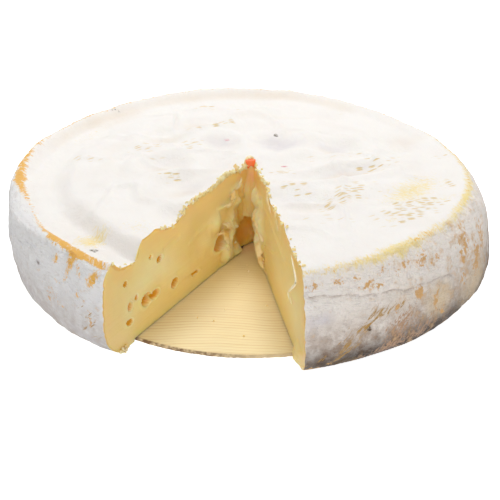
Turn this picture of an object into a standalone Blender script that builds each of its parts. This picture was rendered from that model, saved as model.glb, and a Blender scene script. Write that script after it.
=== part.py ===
"""A reblochon: a soft washed-rind cheese with one wedge cut out, on the thin wooden disc it comes on.

Metres, +Z up. The origin is the centre of the disc's underside, where it rests, and the open wedge
faces -Y. The sizes below are millimetres. An azimuth is in degrees from -Y, positive towards +X.
"""

import math

import bmesh
import bpy
import numpy as np
from mathutils import Matrix, Vector

MM = 0.001
CONTACT_GAP = 0.3

# The thin spruce disc under the cheese.
DISC_RADIUS = 60.5
DISC_THICKNESS = 1.0
DISC_EDGE_BEVEL = 0.15

# The wheel, whose soft side leans a little to the left and to the back.
WHEEL_CENTRE = (-1.2, -0.7)
WHEEL_RADIUS = 70.2
RIM_HEIGHT = 27.1
LEAN_BACK = 1.2
LEAN_LEFT = 1.9
# How far the plan departs from a circle and the rim from a plane: waves in a turn, then their
# cosine and sine heights.
PLAN_WAVES = ((2, 0.0, -0.28), (3, -0.18, -0.61), (4, 0.12, 0.19))
RIM_WAVES = ((1, 1.7, -0.5), (2, 0.6, -0.2), (3, -0.7, 0.0))
CUT_BULGE = 2.3
CUT_BULGE_WIDTH = 11.0

# The rounded shoulder and foot of the side, as shares of the radius and of the height.
SHOULDER_DEPTH = 0.055
SHOULDER_SPREAD = 0.015
FOOT_DEPTH = 0.064
WIDEST_AT = 0.36
SHOULDER_POWER = 3
FOOT_POWER = 4

# The underside lies on the disc and sags past the disc's edge, nearly to the table.
OVERHANG_HEIGHT = 0.35
SEAT_HEIGHT = DISC_THICKNESS + CONTACT_GAP
SEAT_RADIUS = DISC_RADIUS + 2 * CONTACT_GAP
SEAT_FLARE = 1.2
SEAT_DEPTH = 3.0

# The top: a raised lip, a sunken channel inside it, and a domed plateau with a peak at the cut's tip.
LIP_SHARE = 0.94
CHANNEL_OUTER_SLOPE = 5.5
CHANNEL_WIDTH = 11.4
CHANNEL_INNER_SLOPE = 3.2
CHANNEL_SLOPE_SPREAD = 6.0
# Depth of the channel by azimuth.
CHANNEL_DEPTH = ((-180, 1.7), (-150, 2.0), (-120, 2.7), (-90, 3.6), (-60, 4.3), (-30, 4.9),
                 (-8, 2.0), (8, 0.0), (60, 0.2), (100, 0.7), (140, 1.2), (180, 1.7))
DOME_RISE = 1.0
DOME_RADIUS = 50.0
PEAK_RISE = 1.5
PEAK_RADIUS = 5.0
# Dimples pressed into the plateau: x, y, half length, half width, turn in degrees, depth.
DIMPLES = (
    (-27.0, 22.0, 6.0, 7.0, 0, 1.0), (-25.4, 0.0, 7.0, 6.0, 20, 1.3), (-19.0, -16.0, 8.0, 6.5, 30, 1.3),
    (-21.5, -35.5, 5.0, 6.0, 0, 2.4), (-9.0, 16.0, 5.0, 6.5, 0, 0.9), (8.5, 16.5, 8.0, 7.0, 0, 1.1),
    (24.0, 15.5, 8.0, 6.0, 0, 1.0), (47.0, 24.0, 9.0, 9.0, 30, 1.4), (26.5, -4.5, 14.0, 4.0, 24, 1.3),
    (13.5, -25.0, 9.0, 6.0, 0, 0.9), (-17.5, 32.0, 7.0, 4.5, 0, 0.6), (40.0, -22.0, 8.0, 7.0, 0, 0.6),
)

# The cut wedge.
TIP = (0.2, 1.7)
LEFT_CUT_AZIMUTH = -29.9
RIGHT_CUT_AZIMUTH = 10.3
TIP_WIDTH = 1.6
CUTTER_REACH = 92.0
CUTTER_BOTTOM = -4.0
CUTTER_TOP = 38.0
CUTTER_LEVELS = 15

# Lumps of torn paste near the tip, as relief on a cut face: along the cut, height, half size, rise.
LEFT_LUMPS = (
    (9.0, 22.5, 3.2, 1.1), (14.0, 18.5, 3.0, 1.2), (21.0, 17.0, 3.6, 0.8), (25.5, 13.0, 3.4, 0.9),
    (13.0, 12.0, 2.8, 1.5), (8.5, 14.5, 3.0, 1.3), (17.5, 13.4, 2.0, -0.9), (11.0, 7.5, 3.0, 1.2),
    (15.0, 5.6, 2.6, 0.9), (29.5, 20.0, 5.0, -0.4), (41.0, 14.5, 7.0, 0.5), (60.0, 18.0, 8.0, -0.4),
)
RIGHT_LUMPS = (
    (8.5, 19.5, 3.6, 0.9), (11.0, 13.0, 3.4, 1.3), (15.5, 17.0, 2.6, 1.2), (16.5, 10.0, 2.8, 1.5),
    (12.0, 6.0, 2.6, 1.2), (23.0, 12.0, 4.0, -0.5), (38.0, 15.0, 9.0, 0.5), (65.0, 2.4, 3.6, 1.5),
)

# Eyes on the left face: along the cut, height, half length, half height, depth.
EYES = (
    (65.4, 19.1, 0.9, 0.8, 0.9), (64.2, 11.8, 1.2, 1.3, 1.4), (56.9, 10.3, 2.2, 1.8, 2.4),
    (52.8, 9.8, 2.1, 1.3, 1.0), (61.1, 13.0, 0.8, 0.8, 0.6), (64.8, 7.4, 1.4, 0.9, 0.8),
    (53.5, 21.4, 0.7, 0.7, 0.7), (49.9, 19.1, 1.4, 1.0, 1.2), (43.6, 8.6, 1.6, 1.5, 1.7),
    (32.4, 6.0, 2.0, 0.6, 0.9), (19.6, 9.8, 3.4, 2.4, 3.0),
)
EYE_SEGMENTS = 10
EYE_RINGS = 6

# The hollow where the paste tore away at the foot of the tip.
TIP_HOLLOW_CENTRE = (-2.8, -0.6, 2.4)
TIP_HOLLOW_HALF = (4.2, 4.6, 7.2)

# The end of the casein mark, which the cut laid bare at the tip.
MARK_WIDTH = 3.0
MARK_DEPTH = 1.6
MARK_HEIGHT = 3.0
MARK_FOOT_SHARE = 0.6
MARK_CENTRE = (-0.5, -0.6, 28.0)
MARK_BEVEL = 0.4

TURN_STEPS = 96
TOP_RINGS = (0.05, 0.12, 0.2, 0.29, 0.38, 0.47, 0.55, 0.63, 0.7, 0.755, 0.79, 0.815, 0.84, 0.87, 0.9, 0.925)
SIDE_LEVELS = (1.0, 0.975, 0.93, 0.86, 0.74, 0.58, 0.4, 0.24, 0.12, 0.05, 0.0)
UNDERSIDE_RINGS = (0.7, 0.35)

COLOURS = {
    "cheese": ((0.93, 0.87, 0.72), 0.6),
    "wooden_disc": ((0.83, 0.66, 0.38), 0.75),
    "casein_mark": ((0.78, 0.12, 0.06), 0.45),
}


def clear_scene():
    """Remove what the file opened with."""
    for obj in list(bpy.data.objects):
        bpy.data.objects.remove(obj, do_unlink=True)


def make_collection(name):
    """A new collection in the scene."""
    collection = bpy.data.collections.new(name)
    bpy.context.scene.collection.children.link(collection)
    return collection


def make_material(name):
    """The Principled material of one piece."""
    colour, roughness = COLOURS[name]
    material = bpy.data.materials.new(name)
    material.use_nodes = True
    shader = material.node_tree.nodes["Principled BSDF"]
    shader.inputs["Base Color"].default_value = (*colour, 1.0)
    shader.inputs["Roughness"].default_value = roughness
    shader.inputs["Metallic"].default_value = 0.0
    return material


def make_object(name, mesh, collection):
    """An object in a collection, with the material of its name where it has one."""
    obj = bpy.data.objects.new(name, mesh)
    collection.objects.link(obj)
    if name in COLOURS:
        mesh.materials.append(make_material(name))
    return obj


def mark_as_cutter(obj):
    """A cutter shows as wire and isn't a piece."""
    obj.display_type = "WIRE"
    obj.hide_render = True


def smoothstep(low, high, value):
    """0 below low, 1 above high, and a smooth rise between them."""
    share = np.clip((value - low) / (high - low), 0.0, 1.0)
    return share * share * (3.0 - 2.0 * share)


def bump(distance):
    """1 at the middle of a round bump and 0 from a distance of 1."""
    return np.clip(1.0 - distance * distance, 0.0, 1.0) ** 2


def plan_radius(angle, level):
    """Radius of the wheel at an azimuth in radians, with the bulge of its paste over the left cut."""
    radius = WHEEL_RADIUS
    for waves, cosine, sine in PLAN_WAVES:
        radius += cosine * math.cos(waves * angle) + sine * math.sin(waves * angle)
    from_cut = (math.degrees(angle) - LEFT_CUT_AZIMUTH) / CUT_BULGE_WIDTH
    bulge = CUT_BULGE * float(smoothstep(0.0, WIDEST_AT, level))
    return radius + bulge * math.exp(-from_cut * from_cut)


def rim_height(angle, share):
    """Height of the rim, or of the flat top carried on from it at a share of the radius."""
    height = RIM_HEIGHT
    for waves, cosine, sine in RIM_WAVES:
        rise = cosine * math.cos(waves * angle) + sine * math.sin(waves * angle)
        height += rise * share**waves
    return height


def lean(angle, level):
    """How far the side stands out at an azimuth and a share of the height, squarer on the left."""
    tilt = LEAN_BACK * math.cos(angle) + LEAN_LEFT * math.sin(angle)
    square = SHOULDER_SPREAD * WHEEL_RADIUS * math.sin(angle) * shoulder(level)
    return -tilt * (2.0 * level - 1.0) - square


def shoulder(level):
    """How far up the round of the shoulder a share of the height is, from 0 to 1."""
    return max(0.0, (level - WIDEST_AT) / (1.0 - WIDEST_AT)) ** SHOULDER_POWER


def side_share(level):
    """Radius of the side as a share of the belly's, at a share of the height."""
    foot = max(0.0, (WIDEST_AT - level) / WIDEST_AT) ** FOOT_POWER
    return 1.0 - SHOULDER_DEPTH * shoulder(level) - FOOT_DEPTH * foot


def channel_depth(angle):
    """Depth of the channel inside the lip at an azimuth."""
    azimuths = [azimuth for azimuth, _ in CHANNEL_DEPTH]
    depths = [depth for _, depth in CHANNEL_DEPTH]
    return float(np.interp(math.degrees(angle), azimuths, depths))


def dimple_depth(x, y):
    """Depth of the dimples of the plateau at a point of the top."""
    depth = 0.0
    for middle_x, middle_y, half_length, half_width, turn, deep in DIMPLES:
        cosine, sine = math.cos(math.radians(turn)), math.sin(math.radians(turn))
        along = ((x - middle_x) * cosine + (y - middle_y) * sine) / (1.5 * half_length)
        across = ((y - middle_y) * cosine - (x - middle_x) * sine) / (1.5 * half_width)
        depth += deep * float(bump(math.hypot(along, across)))
    return depth


def top_relief(x, y, angle, radius):
    """How far the top stands above the plane of the rim."""
    from_middle = math.hypot(x - WHEEL_CENTRE[0], y - WHEEL_CENTRE[1])
    inward = radius * LIP_SHARE + lean(angle, 1.0) - from_middle
    from_cut = min(abs(math.degrees(angle) - LEFT_CUT_AZIMUTH), 90.0) / 90.0
    inner_slope = CHANNEL_INNER_SLOPE + CHANNEL_SLOPE_SPREAD * from_cut
    channel = smoothstep(0.0, CHANNEL_OUTER_SLOPE, inward)
    channel *= 1.0 - smoothstep(CHANNEL_WIDTH, CHANNEL_WIDTH + inner_slope, inward)
    plateau = smoothstep(CHANNEL_OUTER_SLOPE, CHANNEL_WIDTH + inner_slope, inward)
    dome = DOME_RISE * max(0.0, 1.0 - (from_middle / DOME_RADIUS) ** 2)
    peak = PEAK_RISE * float(bump(math.hypot(x - TIP[0], y - TIP[1]) / (2.0 * PEAK_RADIUS)))
    relief = dome + peak - dimple_depth(x, y)
    return float(plateau) * relief - channel_depth(angle) * float(channel)


def wheel_profile():
    """Outer line of a plain wheel from the top of its axis, out, down its side and back to the axis."""
    points = [(0.0, RIM_HEIGHT)]
    points += [(share * WHEEL_RADIUS, RIM_HEIGHT) for share in TOP_RINGS]
    points += [(side_share(level) * WHEEL_RADIUS, level * RIM_HEIGHT) for level in SIDE_LEVELS]
    points += [(share * WHEEL_RADIUS, 0.0) for share in UNDERSIDE_RINGS]
    return points + [(0.0, 0.0)]


def slump(point):
    """Place on the soft wheel of a point of the plain turned wheel, both in millimetres."""
    angle = math.atan2(point.x, -point.y)
    share = math.hypot(point.x, point.y) / WHEEL_RADIUS
    level = point.z / RIM_HEIGHT
    radius = plan_radius(angle, level)
    distance = share * radius + lean(angle, level) * share * share
    x = WHEEL_CENTRE[0] + distance * math.sin(angle)
    y = WHEEL_CENTRE[1] - distance * math.cos(angle)
    height = level * rim_height(angle, share)
    height += float(smoothstep(0.9, 1.0, level)) * top_relief(x, y, angle, radius)
    height += (1.0 - float(smoothstep(0.0, 0.12, level))) * OVERHANG_HEIGHT
    return Vector((x, y, height))


def turned_mesh(name, profile, steps):
    """A closed mesh turned from a profile of radii and heights in millimetres."""
    outline = bpy.data.meshes.new(name)
    corners = [(radius * MM, 0.0, height * MM) for radius, height in profile]
    outline.from_pydata(corners, [(i, i + 1) for i in range(len(corners) - 1)], [])
    spun = bpy.data.objects.new(name, outline)
    bpy.context.scene.collection.objects.link(spun)
    screw = spun.modifiers.new("Turn", "SCREW")
    screw.steps = steps
    screw.render_steps = steps
    screw.use_merge_vertices = True
    screw.merge_threshold = 0.000001
    graph = bpy.context.evaluated_depsgraph_get()
    mesh = bpy.data.meshes.new_from_object(spun.evaluated_get(graph))
    mesh.name = name
    bpy.data.objects.remove(spun)
    return mesh


def make_wheel(collection):
    """The uncut cheese."""
    mesh = turned_mesh("cheese", wheel_profile(), TURN_STEPS)
    for vertex in mesh.vertices:
        vertex.co = slump(vertex.co / MM) * MM
    return make_object("cheese", mesh, collection)


def cut_direction(azimuth):
    """Unit vector along a cut, from the tip outwards."""
    angle = math.radians(azimuth)
    return Vector((math.sin(angle), -math.cos(angle), 0.0))


def paste_relief(along, height, lumps):
    """How far the paste stands proud of the plane of its cut."""
    rise = 0.0
    for middle, level, half_size, lift in lumps:
        distance = math.hypot(along - middle, height - level) / (1.5 * half_size)
        rise += lift * float(bump(distance))
    return rise


def cut_stations():
    """Distances from the tip at which the cutter has corners, close together where the paste is torn."""
    near = [2.0 + 2.6 * i for i in range(11)]
    far = [35.0, 42.0, 50.0, 58.0, 66.0, 74.0, CUTTER_REACH]
    return near + far


def cutter_section(height):
    """Corners of the wedge at one height, from the left cut's far end round the tip to the right's."""
    left, right = cut_direction(LEFT_CUT_AZIMUTH), cut_direction(RIGHT_CUT_AZIMUTH)
    left_inward, right_inward = Vector((-left.y, left.x, 0.0)), Vector((right.y, -right.x, 0.0))
    tip = Vector((TIP[0], TIP[1], height))
    left_side = []
    right_side = []
    for along in cut_stations():
        lift = paste_relief(along, height, LEFT_LUMPS)
        left_side.append(tip + left * along + left_inward * lift)
        lift = paste_relief(along, height, RIGHT_LUMPS)
        right_side.append(tip + right * along + right_inward * lift)
    blunt = (left + right).normalized() * -TIP_WIDTH / 2
    return left_side[::-1] + [tip + blunt] + right_side


def make_wedge_cutter(collection):
    """The wedge that was cut out, lofted through its sections."""
    rows = bmesh.new()
    sections = []
    for index in range(CUTTER_LEVELS):
        height = CUTTER_BOTTOM + (CUTTER_TOP - CUTTER_BOTTOM) * index / (CUTTER_LEVELS - 1)
        sections.append([rows.verts.new(corner * MM) for corner in cutter_section(height)])
    count = len(sections[0])
    for lower, upper in zip(sections, sections[1:]):
        for i in range(count):
            following = (i + 1) % count
            rows.faces.new((lower[i], lower[following], upper[following], upper[i]))
    rows.faces.new(sections[0][::-1])
    rows.faces.new(sections[-1])
    bmesh.ops.recalc_face_normals(rows, faces=rows.faces)
    mesh = bpy.data.meshes.new("wedge_cutter")
    rows.to_mesh(mesh)
    rows.free()
    cutter = make_object("wedge_cutter", mesh, collection)
    mark_as_cutter(cutter)
    return cutter


def add_ellipsoid(shapes, centre, half_sizes, turn):
    """Add a ball stretched to its half sizes, turned about +Z and moved to its centre."""
    size = Matrix.Diagonal((*(half * MM for half in half_sizes), 1.0))
    place = Matrix.Translation(Vector(centre) * MM) @ Matrix.Rotation(turn, 4, "Z") @ size
    bmesh.ops.create_uvsphere(
        shapes, u_segments=EYE_SEGMENTS, v_segments=EYE_RINGS, radius=1.0, matrix=place
    )


def make_hollow_cutter(collection):
    """The eyes of the left face and the hollow at the foot of the tip."""
    shapes = bmesh.new()
    along = cut_direction(LEFT_CUT_AZIMUTH)
    turn = math.atan2(along.y, along.x)
    for distance, height, half_length, half_height, depth in EYES:
        centre = Vector((TIP[0], TIP[1], height)) + along * distance
        add_ellipsoid(shapes, centre, (half_length, depth, half_height), turn)
    add_ellipsoid(shapes, TIP_HOLLOW_CENTRE, TIP_HOLLOW_HALF, 0.0)
    mesh = bpy.data.meshes.new("hollow_cutter")
    shapes.to_mesh(mesh)
    shapes.free()
    cutter = make_object("hollow_cutter", mesh, collection)
    mark_as_cutter(cutter)
    return cutter


def cut(target, cutter):
    """Take one cutter away from a piece."""
    difference = target.modifiers.new("Cut " + cutter.name, "BOOLEAN")
    difference.operation = "DIFFERENCE"
    difference.object = cutter


def make_cheese(collection, cutters):
    """The wheel without its wedge, with its eyes and its torn tip."""
    cheese = make_wheel(collection)
    cut(cheese, make_seat_cutter(cutters))
    cut(cheese, make_wedge_cutter(cutters))
    cut(cheese, make_hollow_cutter(cutters))
    cut(cheese, make_mark_pocket(cutters))
    return cheese


def make_wooden_disc(collection):
    """The thin disc, with its sharp edges just broken."""
    shape = bmesh.new()
    bmesh.ops.create_cone(
        shape, cap_ends=True, segments=TURN_STEPS, radius1=DISC_RADIUS * MM, radius2=DISC_RADIUS * MM,
        depth=DISC_THICKNESS * MM, matrix=Matrix.Translation((0.0, 0.0, DISC_THICKNESS * MM / 2)),
    )
    mesh = bpy.data.meshes.new("wooden_disc")
    shape.to_mesh(mesh)
    shape.free()
    disc = make_object("wooden_disc", mesh, collection)
    bevel = disc.modifiers.new("Edge", "BEVEL")
    bevel.width = DISC_EDGE_BEVEL * MM
    bevel.segments = 1
    return disc


def make_seat_cutter(collection):
    """The room that the disc takes up under the cheese."""
    shape = bmesh.new()
    middle = Matrix.Translation((0.0, 0.0, (SEAT_HEIGHT - SEAT_DEPTH / 2) * MM))
    bmesh.ops.create_cone(
        shape, cap_ends=True, segments=TURN_STEPS, radius1=(SEAT_RADIUS + SEAT_FLARE) * MM,
        radius2=SEAT_RADIUS * MM, depth=SEAT_DEPTH * MM, matrix=middle,
    )
    mesh = bpy.data.meshes.new("seat_cutter")
    shape.to_mesh(mesh)
    shape.free()
    cutter = make_object("seat_cutter", mesh, collection)
    mark_as_cutter(cutter)
    return cutter


def mark_mesh(name, margin):
    """The bare end of the mark, narrower at its foot, made larger all round by a margin."""
    shape = bmesh.new()
    sizes = (MARK_WIDTH, MARK_DEPTH, MARK_HEIGHT)
    scaled = Matrix.Diagonal((*((size + 2 * margin) * MM for size in sizes), 1.0))
    bmesh.ops.create_cube(shape, size=1.0, matrix=scaled)
    for vertex in shape.verts:
        if vertex.co.z < 0.0:
            vertex.co.x *= MARK_FOOT_SHARE
    mesh = bpy.data.meshes.new(name)
    shape.to_mesh(mesh)
    shape.free()
    mesh.transform(Matrix.Translation(Vector(MARK_CENTRE) * MM))
    return mesh


def make_mark_pocket(collection):
    """The room that the mark's end takes up in the paste."""
    cutter = make_object("mark_pocket", mark_mesh("mark_pocket", CONTACT_GAP), collection)
    mark_as_cutter(cutter)
    return cutter


def make_casein_mark(collection):
    """The bare end of the mark, a small worn chip."""
    mark = make_object("casein_mark", mark_mesh("casein_mark", 0.0), collection)
    bevel = mark.modifiers.new("Worn edges", "BEVEL")
    bevel.width = MARK_BEVEL * MM
    bevel.segments = 2
    return mark


def main():
    """Build the three pieces."""
    clear_scene()
    pieces = make_collection("reblochon")
    cutters = make_collection("cutters")
    cheese = make_cheese(pieces, cutters)
    cheese.data.shade_smooth()
    make_wooden_disc(pieces)
    make_casein_mark(pieces)


main()
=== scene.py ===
"""The looks of a reblochon: a washed-rind cheese with a wedge cut out, on its spruce disc.

Shapes are worked out in millimetres, in the frame of the solids, and become metres where a mesh is
made. An azimuth is in degrees from -Y, positive towards +X. The open wedge faces -Y.
"""

from __future__ import annotations

import logging
import math
from dataclasses import dataclass, field
from enum import Enum
from functools import partial

import bmesh
import bpy
import numpy as np
from bpy.types import ID, Material, Node, NodeSocket, NodeTree, Object
from mathutils import Matrix, Vector


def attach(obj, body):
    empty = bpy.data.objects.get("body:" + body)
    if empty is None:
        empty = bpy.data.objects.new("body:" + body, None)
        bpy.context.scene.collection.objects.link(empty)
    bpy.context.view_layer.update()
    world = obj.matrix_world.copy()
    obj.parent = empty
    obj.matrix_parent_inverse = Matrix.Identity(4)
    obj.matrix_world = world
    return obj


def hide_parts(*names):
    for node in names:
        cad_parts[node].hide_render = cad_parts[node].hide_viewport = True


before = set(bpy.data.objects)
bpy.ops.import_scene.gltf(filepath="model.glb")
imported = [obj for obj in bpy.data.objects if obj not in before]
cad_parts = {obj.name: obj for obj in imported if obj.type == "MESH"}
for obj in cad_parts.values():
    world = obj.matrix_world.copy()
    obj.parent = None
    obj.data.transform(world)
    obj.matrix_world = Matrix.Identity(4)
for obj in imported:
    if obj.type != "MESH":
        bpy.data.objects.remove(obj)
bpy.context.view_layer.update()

Array = np.ndarray
Colour = tuple[float, float, float, float]
# Rows of sizes, places and strengths.
Rows = tuple[tuple[float, ...], ...]

MM = 0.001
PER_MM = 1000.0
LOG = logging.getLogger("reblochon")


class Slot(Enum):
    """The finishes that the record names."""

    RIND = "rind"
    PASTE = "paste"
    SPRUCE = "spruce"
    CASEIN = "casein"


class Side(Enum):
    """The two cuts of the wedge, by the way their paste faces."""

    LEFT = 1.0
    RIGHT = -1.0


def placed(name: str, data: ID) -> Object:
    """Make an object of its data and link it to the scene."""
    obj = bpy.data.objects.new(name, data)
    bpy.context.scene.collection.objects.link(obj)
    return obj


def linear(code: str) -> Colour:
    """Turn an sRGB hex value into linear light.

    Args:
        code: Six hex digits after a hash sign.

    Returns:
        Red, green, blue and an alpha of 1.
    """
    shares = [int(code[i:i + 2], 16) / 255 for i in (1, 3, 5)]
    light = [s / 12.92 if s <= 0.04045 else ((s + 0.055) / 1.055) ** 2.4 for s in shares]
    return (*light, 1.0)


def smoothstep(low: float, high: float, value: Array) -> Array:
    """Rise smoothly from 0 at low to 1 at high."""
    share = np.clip((value - low) / (high - low), 0.0, 1.0)
    return share * share * (3.0 - 2.0 * share)


def bump(distance: Array) -> Array:
    """Give a round bump: 1 at its middle and 0 from a distance of 1."""
    return np.clip(1.0 - distance * distance, 0.0, 1.0) ** 2


def scatter(cells: Array, seed: int) -> Array:
    """Give each whole-numbered cell a fixed number that looks random.

    Args:
        cells: Whole numbers, with x, y and z in the last axis.
        seed: Picks another set of numbers.

    Returns:
        Numbers from 0 to 1, one for each cell.
    """
    x, y, z = (cells[..., i].astype(np.int64) for i in range(3))
    mixed = (x * 73856093) ^ (y * 19349663) ^ (z * 83492791) ^ (seed * 2654435761)
    mixed = (mixed ^ (mixed >> 13)) * 1274126177 & 0x7FFFFFFF
    mixed = (mixed ^ (mixed >> 16)) * 2246822519 & 0x7FFFFFFF
    return (mixed ^ (mixed >> 15)) / float(0x7FFFFFFF)


def noise(points: Array, size: float, seed: int, octaves: int = 1) -> Array:
    """Smooth noise whose lumps are about one size across.

    Args:
        points: Places in millimetres, with x, y and z in the last axis.
        size: Distance between lumps in millimetres.
        seed: Picks another pattern.
        octaves: How many finer layers are added, each half as large and half as strong.

    Returns:
        Numbers from about -1 to 1.
    """
    total = np.zeros(points.shape[:-1])
    strength = 1.0
    for octave in range(octaves):
        place = points / (size * 0.5**octave) + 17.3 * octave
        cell = np.floor(place)
        share = place - cell
        share = share**3 * (share * (share * 6.0 - 15.0) + 10.0)
        value = np.zeros(points.shape[:-1])
        for corner in range(8):
            step = np.array([corner & 1, corner >> 1 & 1, corner >> 2 & 1])
            weight = np.prod(np.where(step, share, 1.0 - share), axis=-1)
            value += weight * scatter(cell + step, seed + octave)
        total += strength * (2.0 * value - 1.0)
        strength *= 0.5
    return total


def pillows(points: Array, size: float, seed: int) -> Array:
    """Rounded lumps that meet in creases, as torn paste breaks.

    Args:
        points: Places in millimetres, with x, y and z in the last axis.
        size: Distance between the middles of two lumps.
        seed: Picks another pattern.

    Returns:
        1 on a lump's middle and 0 or less in the creases.
    """
    place = points / size
    cell = np.floor(place)
    nearest = np.full(points.shape[:-1], 9.0)
    for index in range(27):
        step = np.array([index % 3, index // 3 % 3, index // 9]) - 1
        home = cell + step
        centre = home + np.stack([scatter(home, seed + k) for k in range(3)], axis=-1)
        nearest = np.minimum(nearest, ((place - centre) ** 2).sum(axis=-1))
    return 1.0 - 1.6 * nearest


@dataclass(frozen=True)
class WheelForm:
    """The form of the uncut cheese, the same as in the solids, with the soft rind's fine relief."""

    centre: tuple[float, float] = (-1.2, -0.7)
    radius: float = 70.2
    height: float = 27.1
    lean_back: float = 1.2
    lean_left: float = 1.9
    tip: tuple[float, float] = (0.2, 1.7)
    left_azimuth: float = -29.9
    right_azimuth: float = 10.3
    plan_waves: Rows = ((2, 0.0, -0.28), (3, -0.18, -0.61), (4, 0.12, 0.19))
    rim_waves: Rows = ((1, 1.7, -0.5), (2, 0.6, -0.2), (3, -0.7, 0.0))
    cut_bulge: float = 2.3
    cut_bulge_width: float = 11.0
    shoulder_depth: float = 0.055
    shoulder_spread: float = 0.015
    foot_depth: float = 0.064
    widest_at: float = 0.36
    overhang_height: float = 0.35
    seat_height: float = 1.3
    seat_radius: float = 61.4
    seat_step: float = 0.3
    lip_share: float = 0.94
    # How far the lip is rounded off: all round, and how much more beside the left cut.
    lip_drop: tuple[float, float] = (0.55, 1.75)
    lip_round: tuple[float, float] = (2.0, 0.6)
    lip_below: tuple[float, float] = (0.07, 0.09)
    lip_worn_width: float = 12.0
    lip_swell: float = 0.8
    # Where the left shoulder slopes down to the rim: azimuth, half width, drop, reach in from the rim.
    slope: tuple[float, float, float, float] = (-72.0, 34.0, 3.2, 7.0)
    channel_outer: float = 5.5
    channel_width: float = 11.4
    channel_inner: float = 3.2
    channel_spread: float = 6.0
    channel: Rows = (
        (-180, 1.7), (-150, 2), (-120, 2.7), (-90, 3.6), (-60, 4.3), (-30, 4.9), (-8, 2), (8, 0), (60, 0.2),
        (100, 0.7), (140, 1.2), (180, 1.7),
    )
    dome_rise: float = 1.0
    dome_radius: float = 50.0
    peak_rise: float = 1.5
    peak_radius: float = 5.0
    # x, y, half length, half width, turn in degrees, depth.
    dimples: Rows = (
        (-27, 22, 6, 7, 0, 1), (-25.4, 0, 7, 6, 20, 1.3), (-19, -16, 8, 6.5, 30, 1.3),
        (-21.5, -35.5, 5, 6, 0, 2.4), (-9, 16, 5, 6.5, 0, 0.9), (8.5, 16.5, 8, 7, 0, 1.1),
        (24, 15.5, 8, 6, 0, 1), (47, 24, 9, 9, 30, 1.4), (26.5, -4.5, 14, 4, 24, 1.3),
        (13.5, -25, 9, 6, 0, 0.9), (-17.5, 32, 7, 4.5, 0, 0.6), (40, -22, 8, 7, 0, 0.6),
    )
    # How much deeper a dimple is pressed than in the solids, and with a soft crest round it.
    pressed: float = 0.7
    # Relief: its strength, how much more it has on the top, the side and the rim, the size of its
    # lumps, a seed and its octaves.
    layers: Rows = (
        (0.4, 0.6, 0, 0, 14, 3, 1), (0.2, 0.2, 0, 0, 6, 5, 1), (0.05, 0, 0, 0, 1.9, 6, 1),
        (0, 0, 0.22, 0, 3.4, 7, 1), (0, 0, 0.11, 0, 1.5, 9, 1), (0, 0, 0, 0.16, 2.2, 11, 2),
    )
    # Creases of the side: azimuth and height at each end, then half width and depth.
    creases: Rows = (
        (11, 22.6, 20, 21.4, 0.5, 0.8), (20, 21.4, 28.5, 19.4, 0.45, 0.7), (30, 19.4, 40, 17.4, 0.5, 0.8),
        (40, 17.4, 52, 15.4, 0.5, 0.8), (52.5, 15.4, 53, 4, 0.4, 0.4), (31, 17, 36, 17.6, 0.4, 0.4),
        (14, 21.5, 15.5, 18, 0.4, 0.3), (24, 20, 27, 17.5, 0.4, 0.3),
    )

    def plan_radius(self, angle: Array, level: Array) -> Array:
        """Radius of the wheel at an azimuth in radians and a share of the height."""
        radius = self.radius + 0.0 * angle
        for waves, cosine, sine in self.plan_waves:
            radius = radius + cosine * np.cos(waves * angle) + sine * np.sin(waves * angle)
        from_cut = (np.degrees(angle) - self.left_azimuth) / self.cut_bulge_width
        return radius + self.cut_bulge * smoothstep(0.0, self.widest_at, level) * np.exp(-from_cut**2)

    def rim_height(self, angle: Array, share: Array) -> Array:
        """Height of the rim, or of the flat top carried on from it at a share of the radius."""
        height = self.height + 0.0 * angle
        for waves, cosine, sine in self.rim_waves:
            rise = cosine * np.cos(waves * angle) + sine * np.sin(waves * angle)
            height = height + rise * share**waves
        return height

    def shoulder(self, level: Array) -> Array:
        """How far up the round of the shoulder a share of the height is."""
        return np.clip((level - self.widest_at) / (1.0 - self.widest_at), 0.0, 1.0) ** 3

    def side_share(self, level: Array) -> Array:
        """Radius of the side as a share of the belly's, at a share of the height."""
        foot = np.clip((self.widest_at - level) / self.widest_at, 0.0, 1.0) ** 4
        return 1.0 - self.shoulder_depth * self.shoulder(level) - self.foot_depth * foot

    def lean(self, angle: Array, level: Array) -> Array:
        """How far the side stands out at an azimuth and a share of the height."""
        tilt = self.lean_back * np.cos(angle) + self.lean_left * np.sin(angle)
        square = self.shoulder_spread * self.radius * np.sin(angle) * self.shoulder(level)
        return -tilt * (2.0 * level - 1.0) - square

    def polar(self, x: Array, y: Array) -> tuple[Array, Array]:
        """Azimuth in radians about the wheel's centre, and the distance from it."""
        east, south = x - self.centre[0], self.centre[1] - y
        return np.arctan2(east, south), np.hypot(east, south)

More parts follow.
